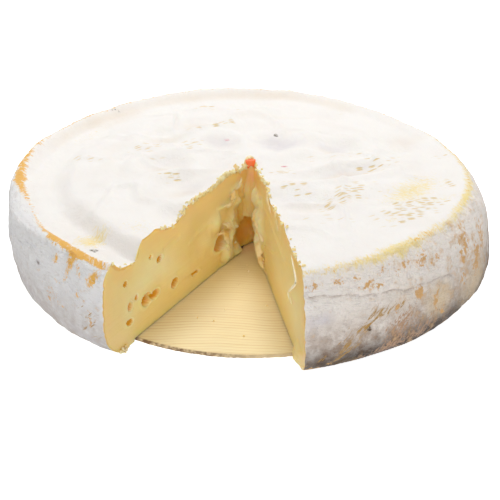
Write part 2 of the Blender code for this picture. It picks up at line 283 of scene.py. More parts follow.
    def top_relief(self, x: Array, y: Array, angle: Array) -> Array:
        """How far the top stands above the plane of the rim."""
        from_middle = np.hypot(x - self.centre[0], y - self.centre[1])
        edge = self.plan_radius(angle, np.ones_like(angle)) * self.lip_share
        inward = edge + self.lean(angle, np.ones_like(angle)) - from_middle
        from_cut = np.minimum(np.abs(np.degrees(angle) - self.left_azimuth), 90.0) / 90.0
        inner = self.channel_width + self.channel_inner + self.channel_spread * from_cut
        rise = np.clip((inward - self.channel_width) / (inner - self.channel_width), 0.0, 1.0)
        channel = smoothstep(0.0, self.channel_outer, inward) * (1.0 - rise * rise * (3.0 - 2.0 * rise))
        rise = np.clip((inward - self.channel_outer) / (inner - self.channel_outer), 0.0, 1.0)
        plateau = rise * rise * (3.0 - 2.0 * rise)
        relief = self.dome_rise * np.clip(1.0 - (from_middle / self.dome_radius) ** 2, 0.0, 1.0)
        from_tip = np.hypot(x - self.tip[0], y - self.tip[1])
        relief = relief + self.peak_rise * bump(from_tip / (2.0 * self.peak_radius))
        for middle_x, middle_y, half_length, half_width, turn, depth in self.dimples:
            cosine, sine = math.cos(math.radians(turn)), math.sin(math.radians(turn))
            along = ((x - middle_x) * cosine + (y - middle_y) * sine) / (1.5 * half_length)
            across = ((y - middle_y) * cosine - (x - middle_x) * sine) / (1.5 * half_width)
            far = np.hypot(along, across)
            pressed = self.pressed if depth < 2.0 else 0.0
            crest = 0.7 * pressed * bump((far - 0.95) / 0.45)
            relief = relief - depth * ((1.0 + pressed) * bump(far) - crest)
        azimuths, depths = zip(*self.channel)
        return plateau * relief - np.interp(np.degrees(angle), azimuths, depths) * channel

    def reach(self, azimuth: Array, level: Array) -> Array:
        """Distance from the wedge's tip to the side, towards an azimuth in degrees.

        Args:
            azimuth: Direction from the tip.
            level: Share of the height, of the same shape.

        Returns:
            Distances in millimetres.
        """
        way = np.radians(azimuth)
        distance = np.full(way.shape, self.radius)
        share = self.side_share(level)
        for _ in range(8):
            x = self.tip[0] + distance * np.sin(way)
            y = self.tip[1] - distance * np.cos(way)
            angle, radius = self.polar(x, y)
            target = share * self.plan_radius(angle, level) + self.lean(angle, level) * share * share
            distance = distance + (target - radius) / np.cos(way - angle)
        return distance

    def seat_reach(self, azimuth: Array) -> Array:
        """Distance from the tip to the edge of the seat, which is round about the origin."""
        way = np.radians(azimuth)
        along = self.tip[0] * np.sin(way) - self.tip[1] * np.cos(way)
        square = self.tip[0] ** 2 + self.tip[1] ** 2
        return -along + np.sqrt(along * along - square + self.seat_radius**2)

    def surface(self, azimuth: Array, stage: Array) -> Array:
        """Points of the outer skin, walked from the tip over the top, down the side and back below.

        Args:
            azimuth: Direction from the tip in degrees.
            stage: 0 to 1 over the top, 1 to 2 down the side, 2 to 3 below.

        Returns:
            Points in millimetres, with x, y and z in the last axis.
        """
        azimuth, stage = np.broadcast_arrays(np.asarray(azimuth, float), np.asarray(stage, float))
        level = np.clip(2.0 - stage, 0.0, 1.0)
        edge = self.reach(azimuth, level)
        seat = self.seat_reach(azimuth)
        below = np.clip(stage - 2.0, 0.0, 1.0)
        distance = edge * np.clip(stage, 0.0, 1.0)
        distance = np.where(below > 0.0, edge + (seat - edge) * np.clip(below / 0.2, 0.0, 1.0), distance)
        inner = (seat - self.seat_step) * (1.0 - np.clip((below - 0.3) / 0.7, 0.0, 1.0))
        distance = np.where(below > 0.25, inner, distance)
        way = np.radians(azimuth)
        x = self.tip[0] + distance * np.sin(way)
        y = self.tip[1] - distance * np.cos(way)
        angle, radius = self.polar(x, y)
        belly = self.plan_radius(angle, level)
        share = radius / belly
        for _ in range(3):
            share = radius / (belly + self.lean(angle, level) * share)
        share = np.where(stage <= 1.0, share, self.side_share(level))
        height = level * self.rim_height(angle, share)
        height = height + smoothstep(0.9, 1.0, level) * self.top_relief(x, y, angle)
        worn = np.exp(-(((np.degrees(angle) - self.left_azimuth) / self.lip_worn_width) ** 2))
        drop, top, side = (a + b * worn for a, b in (self.lip_drop, self.lip_round, self.lip_below))
        from_rim = np.where(stage <= 1.0, (edge - distance) / top, (1.0 - level) / side)
        height = height - drop * np.clip(1.0 - from_rim, 0.0, 1.0) ** 2
        middle, half_width, fall, reach = self.slope
        sloped = fall * bump((np.degrees(angle) - middle) / half_width)
        from_rim = np.where(stage <= 1.0, (edge - distance) / reach, (1.0 - level) / 0.45)
        height = height - sloped * np.clip(1.0 - from_rim, 0.0, 1.0) ** 1.6
        swell = self.lip_swell * worn * bump((edge - distance - 5.2) / 2.8)
        height = height + np.where(stage <= 1.0, swell, 0.0)
        height = height + (1.0 - smoothstep(0.0, 0.12, level)) * self.overhang_height
        height = np.where(below > 0.25, self.seat_height, height)
        points = np.stack([x, y, height], axis=-1)
        return points + self.outward(angle, stage) * self.fine_relief(points, angle, stage)[..., None]

    def outward(self, angle: Array, stage: Array) -> Array:
        """Directions in which the skin's fine relief stands out."""
        turn = 0.5 * math.pi * smoothstep(0.95, 1.12, stage)
        flat = np.sin(turn)
        return np.stack([flat * np.sin(angle), -flat * np.cos(angle), np.cos(turn)], axis=-1)

    def crease(self, points: Array, degrees: Array) -> Array:
        """Depth of the side's creases at points of an azimuth, in millimetres."""
        unit = math.radians(self.radius)
        wander = 0.5 * noise(points, 3.0, 31, 2)
        total = np.zeros(degrees.shape)
        for first, low, last, high, half_width, depth in self.creases:
            start, run = np.array([first * unit, low]), np.array([(last - first) * unit, high - low])
            place = np.stack([degrees * unit, points[..., 2] + wander], axis=-1) - start
            share = np.clip((place @ run) / (run @ run), 0.0, 1.0)
            apart = np.linalg.norm(place - share[..., None] * run, axis=-1)
            total = np.maximum(total, depth * bump(apart / (1.6 * half_width)))
        return total

    def fine_relief(self, points: Array, angle: Array, stage: Array) -> Array:
        """How far the rind stands out of the smooth wheel, in millimetres."""
        on_side = smoothstep(0.98, 1.1, stage)
        on_rim = bump((stage - 1.02) / 0.09)
        on_top = 1.0 - smoothstep(0.72, 0.9, stage)
        relief = np.zeros(stage.shape)
        for strength, more_on_top, more_on_side, more_on_rim, size, seed, octaves in self.layers:
            shown = strength + more_on_top * on_top + more_on_side * on_side + more_on_rim * on_rim
            relief = relief + shown * noise(points, size, seed, octaves)
        crests = np.clip(1.0 - 3.5 * np.abs(noise(points, 17.0, 13, 2)), 0.0, 1.0) ** 1.5
        relief = relief + 0.9 * crests * on_top
        degrees = np.degrees(angle)
        pebbled = smoothstep(49.0, 56.0, degrees) * (1.0 - smoothstep(70.0, 84.0, degrees))
        relief = relief + on_side * pebbled * 0.30 * (pillows(points, 3.0, 21) - 0.4)
        relief = relief - on_side * self.crease(points, degrees)
        middle = np.hypot(points[..., 0] - self.tip[0], points[..., 1] - self.tip[1])
        kept = (1.0 - smoothstep(1.9, 2.0, stage)) * smoothstep(0.0, 3.0, middle)
        return relief * kept


@dataclass(frozen=True)
class Weathering:
    """Where the rind is stained, and where shade is painted on it like stains: in the top's dimples, in the
    channel at the back and on parts of the side. On the top a stain is x, y, half length, half width, turn
    and strength; on the side it is azimuth, height, half length, half height, turn and strength."""

    # Azimuth, orange, yellow and half width of the bare band along the rim.
    rim: Rows = (
        (-180, 0.62, 0.35, 1), (-160, 0.70, 0.30, 1), (-140, 0.75, 0.30, 1.2), (-120, 0.75, 0.25, 1.3),
        (-105, 0.85, 0.20, 1.5), (-95, 1, 0.2, 2), (-88, 1.25, 0.2, 2.4), (-82, 1, 0.2, 1.8),
        (-76, 0.7, 0.1, 1), (-66, 0.7, 0.1, 1), (-60, 0.9, 0.2, 1.2), (-55, 1.15, 0.3, 1.6),
        (-50, 1.15, 0.3, 1.6), (-44, 1.2, 0.3, 2), (-38, 1.1, 0.3, 1.7), (-33, 0.9, 0.3, 1.2),
        (-30, 0.7, 0.3, 1), (10, 0.30, 0.5, 1.2), (18, 0.45, 0.5, 1.5), (24, 0.40, 0.6, 1.7),
        (31, 0.25, 0.8, 1.8), (37, 0.30, 0.9, 2.2), (43, 0.60, 0.8, 2.2), (48, 0.60, 0.6, 1.9),
        (55, 0.35, 0.6, 1.5), (61, 0.30, 0.7, 1.5), (71, 0.35, 0.8, 1.6), (80, 0.50, 0.8, 1.5),
        (90, 0.55, 0.7, 1.4), (110, 0.60, 0.6, 1.3), (140, 0.65, 0.4, 1.1), (180, 0.62, 0.35, 1),
    )
    # Azimuth, and how far in from the rim the band lies.
    band_inset: Rows = (
        (-112, 0), (-102, 0.2), (-93, 0.8), (-86, 2), (-80, 3.6), (-73, 5.4), (-66, 5.2), (-60, 4.2),
        (-54, 2.6), (-48, 1.2), (-42, 0.6), (-30, 1), (10, 0),
    )
    # Azimuth, and how mottled the side is.
    soiled: Rows = (
        (-180, 0.5), (-120, 0.4), (-90, 0.25), (-60, 0.3), (-45, 0.45), (-30, 0.5), (10, 0.35), (28, 0.6),
        (36, 0.75), (52, 0.75), (56, 0.9), (72, 0.8), (85, 0.45), (120, 0.5), (180, 0.5),
    )
    drips: Rows = (
        (-39.8, 25.4, 3.4, 1.9, 80, 1.1), (-36.8, 24.4, 3, 1.1, 110, 0.8), (-32.9, 24, 3.8, 1.8, 60, 1.1),
        (-44.5, 24.5, 3, 1.3, 70, 0.9), (-41, 20.6, 2.6, 1.1, 75, 0.8), (-43.5, 18.3, 2.3, 0.9, -35, 0.7),
        (-36.9, 18.3, 1.8, 1, 80, 0.8), (-41.9, 11.7, 1.2, 1, 0, 0.8),
    )
    rust: Rows = (
        (14, 25, 3, 1.2, 0, 0.8), (20, 24.8, 2, 1.1, 0, 0.9), (24, 24.2, 2, 0.9, 0, 0.7),
        (26.6, 22.4, 2.8, 1.2, 15, 1), (29.7, 21.6, 2, 1, 10, 0.9), (31, 24.6, 3, 1, 10, 0.7),
        (37, 23.8, 3.6, 1.3, 15, 0.9), (42.5, 23.4, 3, 1.8, 30, 1), (47, 21.5, 2.5, 2, 30, 0.6),
        (40.2, 15.6, 2, 2.2, 50, 1.5), (33.6, 14.4, 1.8, 1, 30, 1.3), (45.5, 11.5, 3.2, 1.1, 70, 1.3),
        (47, 7.5, 1.4, 1.1, 40, 1), (59, 18.5, 4.5, 2.6, 40, 1.1), (64, 14, 5, 3.4, 60, 1.2),
        (57, 12, 3, 2.4, 30, 1), (70, 17, 5, 3.5, 80, 1), (13, 2, 3, 1.3, 0, 1.1),
        (60, 23, 5, 1.6, 20, 0.8), (17.5, 3.2, 1.6, 0.7, 0, 0.9), (29, 17, 1, 0.6, 0, 0.8),
        (-35.1, 17.5, 1.2, 0.8, 0, 0.6), (-33, 12, 2, 4, 0, 0.45), (-46, 13, 6, 4, 0, 0.3),
        (110, 14, 14, 5, 0, 0.5), (-140, 14, 16, 5, 0, 0.5),
    )
    brown: Rows = (
        (20.6, 8.6, 5.5, 1.9, 52, 1.2), (23.4, 8, 3, 1, 45, 0.9), (26.6, 13.2, 6, 1.5, 42, 1.2),
        (30.5, 14.6, 4, 1.2, 32, 1), (34.5, 14.6, 2.5, 1, 30, 0.9), (21.5, 2.2, 4.4, 1.6, 5, 1.1),
        (15, 4.5, 5, 1.8, 0, 0.6), (68, 9, 12, 6, 0, 0.45), (100, 10, 26, 6, 0, 0.4),
        (-110, 8, 30, 5, 0, 0.4), (150, 12, 40, 6, 0, 0.4), (-160, 9, 30, 5, 0, 0.4),
        (-34, 10, 4, 6, 0, 0.5),
    )
    hatched: Rows = (
        (34.5, 9, 8, 4.5, 25, 1.15), (42, 6, 8, 2.6, 20, 1), (30, 3.5, 10, 2, 5, 0.9),
        (52, 8, 6, 4, 30, 0.5),
    )
    side_dark: Rows = (
        (20.4, 3, 4, 1.6, 4, 1.5), (26, 11.2, 0.9, 0.8, 0, 1.1), (-51, 20.2, 0.9, 1.3, 80, 1),
    )
    # Grey-lilac patches of the side, some of them painted shade in a dent and low on the left side.
    grey: Rows = (
        (15, 16.2, 5, 2.4, 0, 0.8), (-51, 20.2, 1.3, 1.6, 80, 0.9), (32.5, 24.2, 5, 1.6, 0, 0.35),
        (42, 21.5, 1.2, 1.6, 60, 0.6), (-60, 8, 14, 4, -15, 0.35), (-36, 6, 8, 3, -20, 0.5),
    )
    beige: Rows = (
        (46.5, 11, 7, 5, 15, 1.1), (62, 8, 12, 6, 15, 0.9), (36, 16, 12, 5, 10, 0.35),
    )
    top_yellow: Rows = (
        (45, -15.5, 14, 6, 52, 0.85), (-42.5, -41.5, 5.5, 3.6, 10, 1), (-52, 30.6, 9, 2.6, 60, 0.35),
        (-30, -40, 5, 5, 0, 0.35), (53, -21, 6, 1.8, 38, 0.5), (37, -36, 3, 2, 40, 0.35),
        (60.5, -20, 2.5, 5, 0, 0.35), (8, -36, 3, 4, 0, 0.3),
    )
    # Painted shade in the top's dimples.
    top_dimple_shade: Rows = (
        (-9, 18.5, 7, 5, 0, 0.55), (8.5, 18, 8, 6.5, 0, 0.7), (25, 16.5, 7, 5, 0, 0.5),
        (-26, 1, 7, 5, 0, 0.35), (-17, -15.5, 6, 5, 20, 0.45), (28, -3, 12, 3.5, 24, 0.4),
        (12, -24, 7, 4, 0, 0.35), (48, 24, 8, 8, 0, 0.25),
    )
    # Painted warm shade in the top's dimples and dips.
    top_warm_shade: Rows = (
        (-27, 21, 6, 4, 0, 0.45), (-19, -17, 6, 3.5, 25, 0.4), (-25.4, -1, 6, 3.5, 15, 0.4),
        (26.5, -5.5, 12, 3, 24, 0.4), (47, 24, 8, 7, 30, 0.3), (-17.5, 31, 8, 3.5, 0, 0.4),
        (-45, 42, 10, 5, 40, 0.35), (13.5, -26, 8, 4, 0, 0.3), (24, 14, 7, 4, 0, 0.3),
        (-42, 8, 4, 12, 0, 0.25), (5, 40, 16, 3, 5, 0.3),
    )
    top_pink: Rows = (
        (-7.8, 20.5, 1.6, 0.7, 15, 0.9), (6.3, 30, 1.2, 0.8, 15, 0.5), (9.4, 0.1, 1.4, 0.7, 10, 0.9),
        (0, 13.1, 1.3, 0.6, 15, 0.4), (12, 8, 2, 0.8, 10, 0.4),
    )
    top_dark: Rows = (
        (-41.3, -46.4, 1.6, 1, -15, 1), (7.5, 23.1, 1.3, 1, 0, 0.95), (-45.5, 49.3, 2.4, 1.8, 20, 0.55),
    )
    # Where the cloth's weave printed short ochre dashes.
    top_print: Rows = (
        (-18, 14.5, 4, 3.5, 40, 0.9), (-12.5, 29.5, 10, 3.5, 25, 0.6), (-31, 14.5, 8, 3, 20, 0.4),
        (-23.3, -9.3, 5, 2.4, 15, 0.9), (9.5, -5.5, 4, 4, 20, 0.75), (-6, 46, 14, 2.5, 5, 0.35),
        (12.5, -17, 6, 4.5, 25, 0.8), (26.5, -20.5, 11, 5, 45, 1), (57, -10, 3, 5, 0, 0.5),
        (44, -28.5, 13, 5, 42, 1.2), (37, 3, 9, 4.5, 42, 0.75), (28, 9, 12, 4, 20, 0.4),
        (27.6, 48.5, 3.5, 1.5, 10, 0.7), (-15.7, 53.9, 3.5, 1.5, 10, 0.7), (56.8, 12, 2.6, 1.6, 20, 1),
        (-51, 8, 8, 2.5, -25, 0.45), (23, -33, 14, 5, 20, 0.22), (-30, 12, 12, 10, 20, 0.18),
    )

    @staticmethod
    def stains(first: Array, second: Array, listed: Rows, unit: float) -> Array:
        """Add up a list of stains.

        Args:
            first: x on the top, or azimuth on the side.
            second: y on the top, or height on the side.
            listed: The stains.
            unit: Millimetres in one unit of the first coordinate.

        Returns:
            Strength from 0 up.
        """
        total = np.zeros(first.shape)
        for middle, level, half_length, half_width, turn, strength in listed:
            cosine, sine = math.cos(math.radians(turn)), math.sin(math.radians(turn))
            away = (first - middle) * unit
            along = (away * cosine + (second - level) * sine) / (1.45 * half_length)
            across = ((second - level) * cosine - away * sine) / (1.45 * half_width)
            total = total + strength * bump(np.hypot(along, across))
        return total

    def attributes(self, form: WheelForm, points: Array, stage: Array) -> dict[str, Array]:
        """Work out every stain of the rind, and the shade painted on it.

        Args:
            form: The wheel.
            points: Points of the skin in millimetres.
            stage: Their stages.

        Returns:
            One array of strengths for each named attribute.
        """
        x, y, z = points[:, 0], points[:, 1], points[:, 2]
        angle, _ = form.polar(x, y)
        degrees = np.degrees(angle)
        unit = math.radians(form.radius)
        edge = form.reach(degrees, np.ones_like(degrees))
        inset = np.interp(degrees, *zip(*self.band_inset))
        side = smoothstep(0.99, 1.03, stage + inset / form.radius)
        top = 1.0 - side
        down = np.where(stage <= 1.0, -edge * (1.0 - stage), (stage - 1.0) * form.height * 1.15)
        azimuths, orange, yellow, widths = zip(*self.rim)
        ragged = 1.0 + 0.5 * noise(points, 2.4, 41, 2)
        from_line = down + inset - 0.6 * np.cos(angle)
        band = bump(from_line / (1.5 * np.interp(degrees, azimuths, widths) * ragged))
        haze = bump((down - 1.5) / 5.0) * 0.35
        soiled, amount = zip(*self.soiled)
        around = np.where(degrees < -10.0, degrees + 360.0, degrees) * unit
        crest = np.abs(degrees) / 180.0
        # Painted shade in the channel inside the rim at the back, as a tan band.
        tan = smoothstep(0.72, 0.86, crest) * bump((stage - 0.93) / 0.075)
        tan = tan + bump((degrees + 122.0) / 26.0) * bump((stage - 0.95) / 0.06)
        marks = {}
        for key in ("drips", "rust", "brown", "grey", "beige", "hatched", "side_dark"):
            marks[key] = side * self.stains(degrees, z, getattr(self, key), unit)
        for key in ("top_yellow", "top_dimple_shade", "top_warm_shade", "top_pink", "top_dark", "top_print"):
            marks[key] = top * self.stains(x, y, getattr(self, key), 1.0)
        return {
            "orange": np.interp(degrees, azimuths, orange) * band + marks["drips"],
            "yellow": np.interp(degrees, azimuths, yellow) * (band + haze) + marks["top_yellow"],
            "brown": marks["brown"], "rust": marks["rust"], "hatched": marks["hatched"],
            # Grey patches of the side, and painted shade in the top's dimples.
            "grey": marks["grey"] + marks["top_dimple_shade"],
            # Beige patches of the side, with painted shade from the band at the back and the top's dimples.
            "beige": marks["beige"] + 0.45 * tan + marks["top_warm_shade"],
            "dark": marks["top_dark"] + marks["side_dark"],
            "pink": marks["top_pink"], "print": marks["top_print"],
            "crease": side * form.crease(points, degrees),
            "soil": side * np.interp(degrees, soiled, amount),
            "around": around, "down": down, "side": side,
        }


@dataclass(frozen=True)
class CutFace:
    """One cut through the paste, with its eyes, lumps and tears, in distances along it and heights."""

    side: Side
    azimuth: float
    columns: int
    # Along, height, half size, rise.
    lumps: Rows
    # Along, height, half length, half height, depth.
    eyes: Rows = ()
    # Along and height of the ends of a ridge, half width, rise.
    ridges: Rows = ()
    # Creamy smears: along, height, half length, half height, turn in degrees, strength.
    smears: Rows = ()
    # How far from the tip the paste is torn.
    torn_reach: float = 20.0
    torn_slant: float = 0.0
    torn_rise: float = 1.5
    seed: int = 1

    @property
    def way(self) -> Array:
        """Unit vector along the cut, from the tip outwards."""
        angle = math.radians(self.azimuth)
        return np.array([math.sin(angle), -math.cos(angle), 0.0])

    @property
    def facing(self) -> Array:
        """Unit vector out of the paste into the open wedge."""
        return self.side.value * np.array([-self.way[1], self.way[0], 0.0])

    def torn(self, along: Array, height: Array) -> Array:
        """How torn the paste is: 1 near the tip and 0 where the knife left it smooth."""
        limit = self.torn_reach + self.torn_slant * (height - 12.0)
        wander = 3.0 * noise(np.stack([along, height, 0.0 * along], axis=-1), 7.0, self.seed)
        inside = 1.0 - smoothstep(-2.5, 1.5, along - limit + wander)
        return inside * (1.0 - smoothstep(22.5, 25.5, height))

    def relief(self, points: Array, along: Array, height: Array, depth: Array) -> Array:
        """How far the paste stands out of its plane.

        Args:
            points: Places on the flat cut.
            along: Distances from the tip.
            height: Heights.
            depth: Distances in from the rind.

        Returns:
            The relief in millimetres.
        """
        flat = np.stack([along, height, np.full_like(along, 3.7 * self.seed)], axis=-1)
        relief = 0.28 * noise(flat, 12.0, 51 + self.seed, 2)
        drag = np.stack([along / 16.0, height, 0.0 * along], axis=-1)
        torn = self.torn(along, height)
        relief = relief + (1.0 - torn) * 0.05 * noise(drag, 0.9, 61 + self.seed, 2)
        for middle, level, half_size, rise in self.lumps:
            distance = np.hypot(along - middle, height - level) / (1.5 * half_size)
            relief = relief + rise * bump(distance * (1.0 + 0.25 * noise(flat, 2.6, 71)))
        pushed = points + 0.9 * np.stack([noise(points, 2.4, seed) for seed in (81, 83, 85)], axis=-1)
        slabs = pushed * np.array([1.0, 1.0, 0.75])
        folds = pillows(slabs, 4.4, 91) + 0.35 * pillows(pushed, 1.9, 95)
        relief = relief + torn * self.torn_rise * np.clip(folds - 0.1, -0.45, 1.0)
        for first, low, last, high, half_width, rise in self.ridges:
            start, run = np.array([first, low]), np.array([last - first, high - low])
            place = np.stack([along, height], axis=-1) - start
            share = np.clip((place @ run) / (run @ run), 0.0, 1.0)
            apart = np.linalg.norm(place - share[..., None] * run, axis=-1)
            relief = relief + rise * bump(apart / (1.6 * half_width)) * np.sin(math.pi * share) ** 0.4
        for middle, level, half_length, half_height, deep in self.eyes:
            wobble = 1.0 + 0.10 * noise(flat, 1.6, 101 + int(middle))
            far = np.hypot((along - middle) / half_length, (height - level) / half_height) * wobble
            bowl = np.sqrt(np.clip(1.0 - far**4, 0.0, 1.0))
            rim = bump((far - 1.2) / 0.42) * min(0.22, 0.16 * deep)
            relief = relief - 1.25 * deep * bowl + rim
        return relief * smoothstep(0.0, 1.3, depth)

    def smeared(self, along: Array, height: Array) -> Array:
        """Strength of the creamy smears."""
        return Weathering.stains(along, height, self.smears, 1.0)


LEFT_FACE = CutFace(
    side=Side.LEFT, azimuth=-29.9, columns=236, seed=1,
    lumps=(
        (9.6, 22.2, 2.2, -1.1), (12, 17.6, 2.4, -0.9), (21.7, 17.2, 3, 1.3), (26, 13.5, 3.6, 0.6),
        (9, 14.5, 2.8, -1.5), (15.4, 14, 1.4, 0.9), (17.6, 12.6, 1.8, -0.9), (10, 7.5, 3.4, -2),
        (15.6, 4.6, 2.4, 0.5), (29.5, 20, 5, -0.4), (41, 14.5, 7, 0.5), (60, 18, 8, -0.4),
    ),
    eyes=(
        (65.4, 19.1, 0.9, 0.8, 0.9), (64.2, 11.8, 1.2, 1.3, 1.4), (56.9, 10.3, 2.2, 1.8, 2.4),
        (52.8, 9.8, 2.1, 1.3, 1), (61.1, 13, 0.8, 0.8, 0.6), (64.8, 7.4, 1.4, 0.9, 0.8),
        (53.5, 21.4, 0.7, 0.7, 0.7), (49.9, 19.1, 1.4, 1, 1.2), (43.6, 8.6, 1.6, 1.5, 1.7),
        (32.4, 6, 2, 0.5, 0.9), (19.6, 9.8, 3.4, 2.4, 3),
    ),
    ridges=((36, 17.2, 24, 18.6, 0.6, 0.4), (48, 21, 40, 21.6, 0.7, -0.4),
            (38, 7.5, 30, 5.9, 0.6, -0.3), (7, 25.2, 12.9, 23.2, 0.8, 1), (13.2, 23.4, 11, 20.6, 0.7, 0.9),
            (10.8, 20.4, 15.2, 20.3, 0.8, 1.1), (14.8, 20, 20.6, 20.9, 0.6, 0.7),
            (16.4, 14, 9.6, 11, 0.6, 0.9), (7.6, 23.5, 7, 14, 1, -0.9)),
    smears=((52.5, 17.5, 9, 4, 10, 0.8), (60, 15, 7, 3, 5, 0.6), (43, 12, 8, 3, 10, 0.4),
            (21.7, 17.6, 3.4, 2.6, 0, 1.1), (17, 20.4, 4, 1.2, 5, 0.7), (10, 24, 3.6, 0.9, -15, 0.9),
            (12.3, 21.6, 1.4, 2, 0, 1), (26, 13.5, 4, 2, 15, 0.5), (65, 9, 3, 5, 0, 0.4)),
    torn_reach=14.5, torn_slant=-0.35,
)
RIGHT_FACE = CutFace(
    side=Side.RIGHT, azimuth=10.3, columns=190, seed=2,
    lumps=(
        (8.5, 19.5, 3.6, 0.9), (11, 13, 3.4, 1.3), (15.5, 17, 2.6, 1.2), (16.5, 10, 2.8, 1.5),
        (12, 6, 2.6, 1.2), (23, 12, 4, -0.5), (38, 15, 9, 0.5), (65, 2.4, 3.6, 1.5),
    ),
    ridges=((19, 22, 50, 20, 0.8, 0.4), (20, 11, 36, 17, 0.8, 0.45)),
    smears=((60, 12, 9, 9, 0, 0.6), (14, 15, 6, 6, 0, 0.7), (42, 14, 12, 6, 0, 0.3)),
    torn_reach=18.0, torn_slant=-0.1, torn_rise=1.2,
)


@dataclass
class Skin:
    """A closed mesh in the making: points, faces, and for each point the values its finish reads."""

    points: list[Array] = field(default_factory=list)
    values: list[dict[str, Array]] = field(default_factory=list)
    faces: list[tuple[int, ...]] = field(default_factory=list)
    slots: list[int] = field(default_factory=list)
    count: int = 0

    def add_points(self, points: Array, values: dict[str, Array]) -> Array:
        """Add points and their values.

        Args:
            points: Rows of x, y and z in millimetres.
            values: One array for each attribute; those left out are 0.

        Returns:
            The new points' numbers.
        """
        self.points.append(points)
        self.values.append(values)
        first, self.count = self.count, self.count + len(points)
        return np.arange(first, self.count)

    def add_faces(self, faces: Array | list[tuple[int, ...]], slot: int) -> None:
        """Add faces of one material slot."""
        self.faces.extend(tuple(int(corner) for corner in face) for face in faces)
        self.slots.extend([slot] * len(faces))

    def quads(self, rows: Array, slot: int) -> None:
        """Join a grid of point numbers with quads."""
        corners = np.stack([rows[:-1, :-1], rows[:-1, 1:], rows[1:, 1:], rows[1:, :-1]], axis=-1)
        self.add_faces(corners.reshape(-1, 4), slot)

    def zip_together(self, first: Array, first_at: Array, second: Array, second_at: Array, slot: int) -> None:
        """Join two lines of points with triangles, each taken in the order of its parameters.

        Args:
            first: Point numbers of one line.
            first_at: How far along each lies.
            second: Point numbers of the other line, which starts and ends level with the first.
            second_at: How far along each lies.
            slot: The material slot.
        """
        i, j, found = 0, 0, []
        while i < len(first) - 1 or j < len(second) - 1:
            later = j == len(second) - 1
            if later or (i < len(first) - 1 and first_at[i + 1] <= second_at[j + 1]):
                found.append((first[i], first[i + 1], second[j]))
                i += 1
            else:
                found.append((first[i], second[j + 1], second[j]))
                j += 1
        self.add_faces(found, slot)

    def object(self, name: str, materials: list[Material], sharp: float) -> Object:
        """Make the closed mesh an object.

        Args:
            name: The piece's name.
            materials: The material of each slot.
            sharp: Edges sharper than this many degrees stay sharp.

        Returns:
            The object, linked to the scene.
        """
        mesh = bpy.data.meshes.new(name)
        mesh.from_pydata(np.concatenate(self.points) * MM, [], self.faces)
        for material in materials:
            mesh.materials.append(material)
        mesh.polygons.foreach_set("material_index", self.slots)
        for key in sorted({key for values in self.values for key in values}):
            parts = [values.get(key, np.zeros(len(p))) for p, values in zip(self.points, self.values)]
            layer = mesh.attributes.new(key, "FLOAT", "POINT")
            layer.data.foreach_set("value", np.concatenate(parts).astype(np.float32))
        shape = bmesh.new()
        shape.from_mesh(mesh)
        bmesh.ops.recalc_face_normals(shape, faces=shape.faces)
        shape.to_mesh(mesh)
        shape.free()
        mesh.shade_smooth()
        mesh.set_sharp_from_angle(angle=math.radians(sharp))
        return placed(name, mesh)


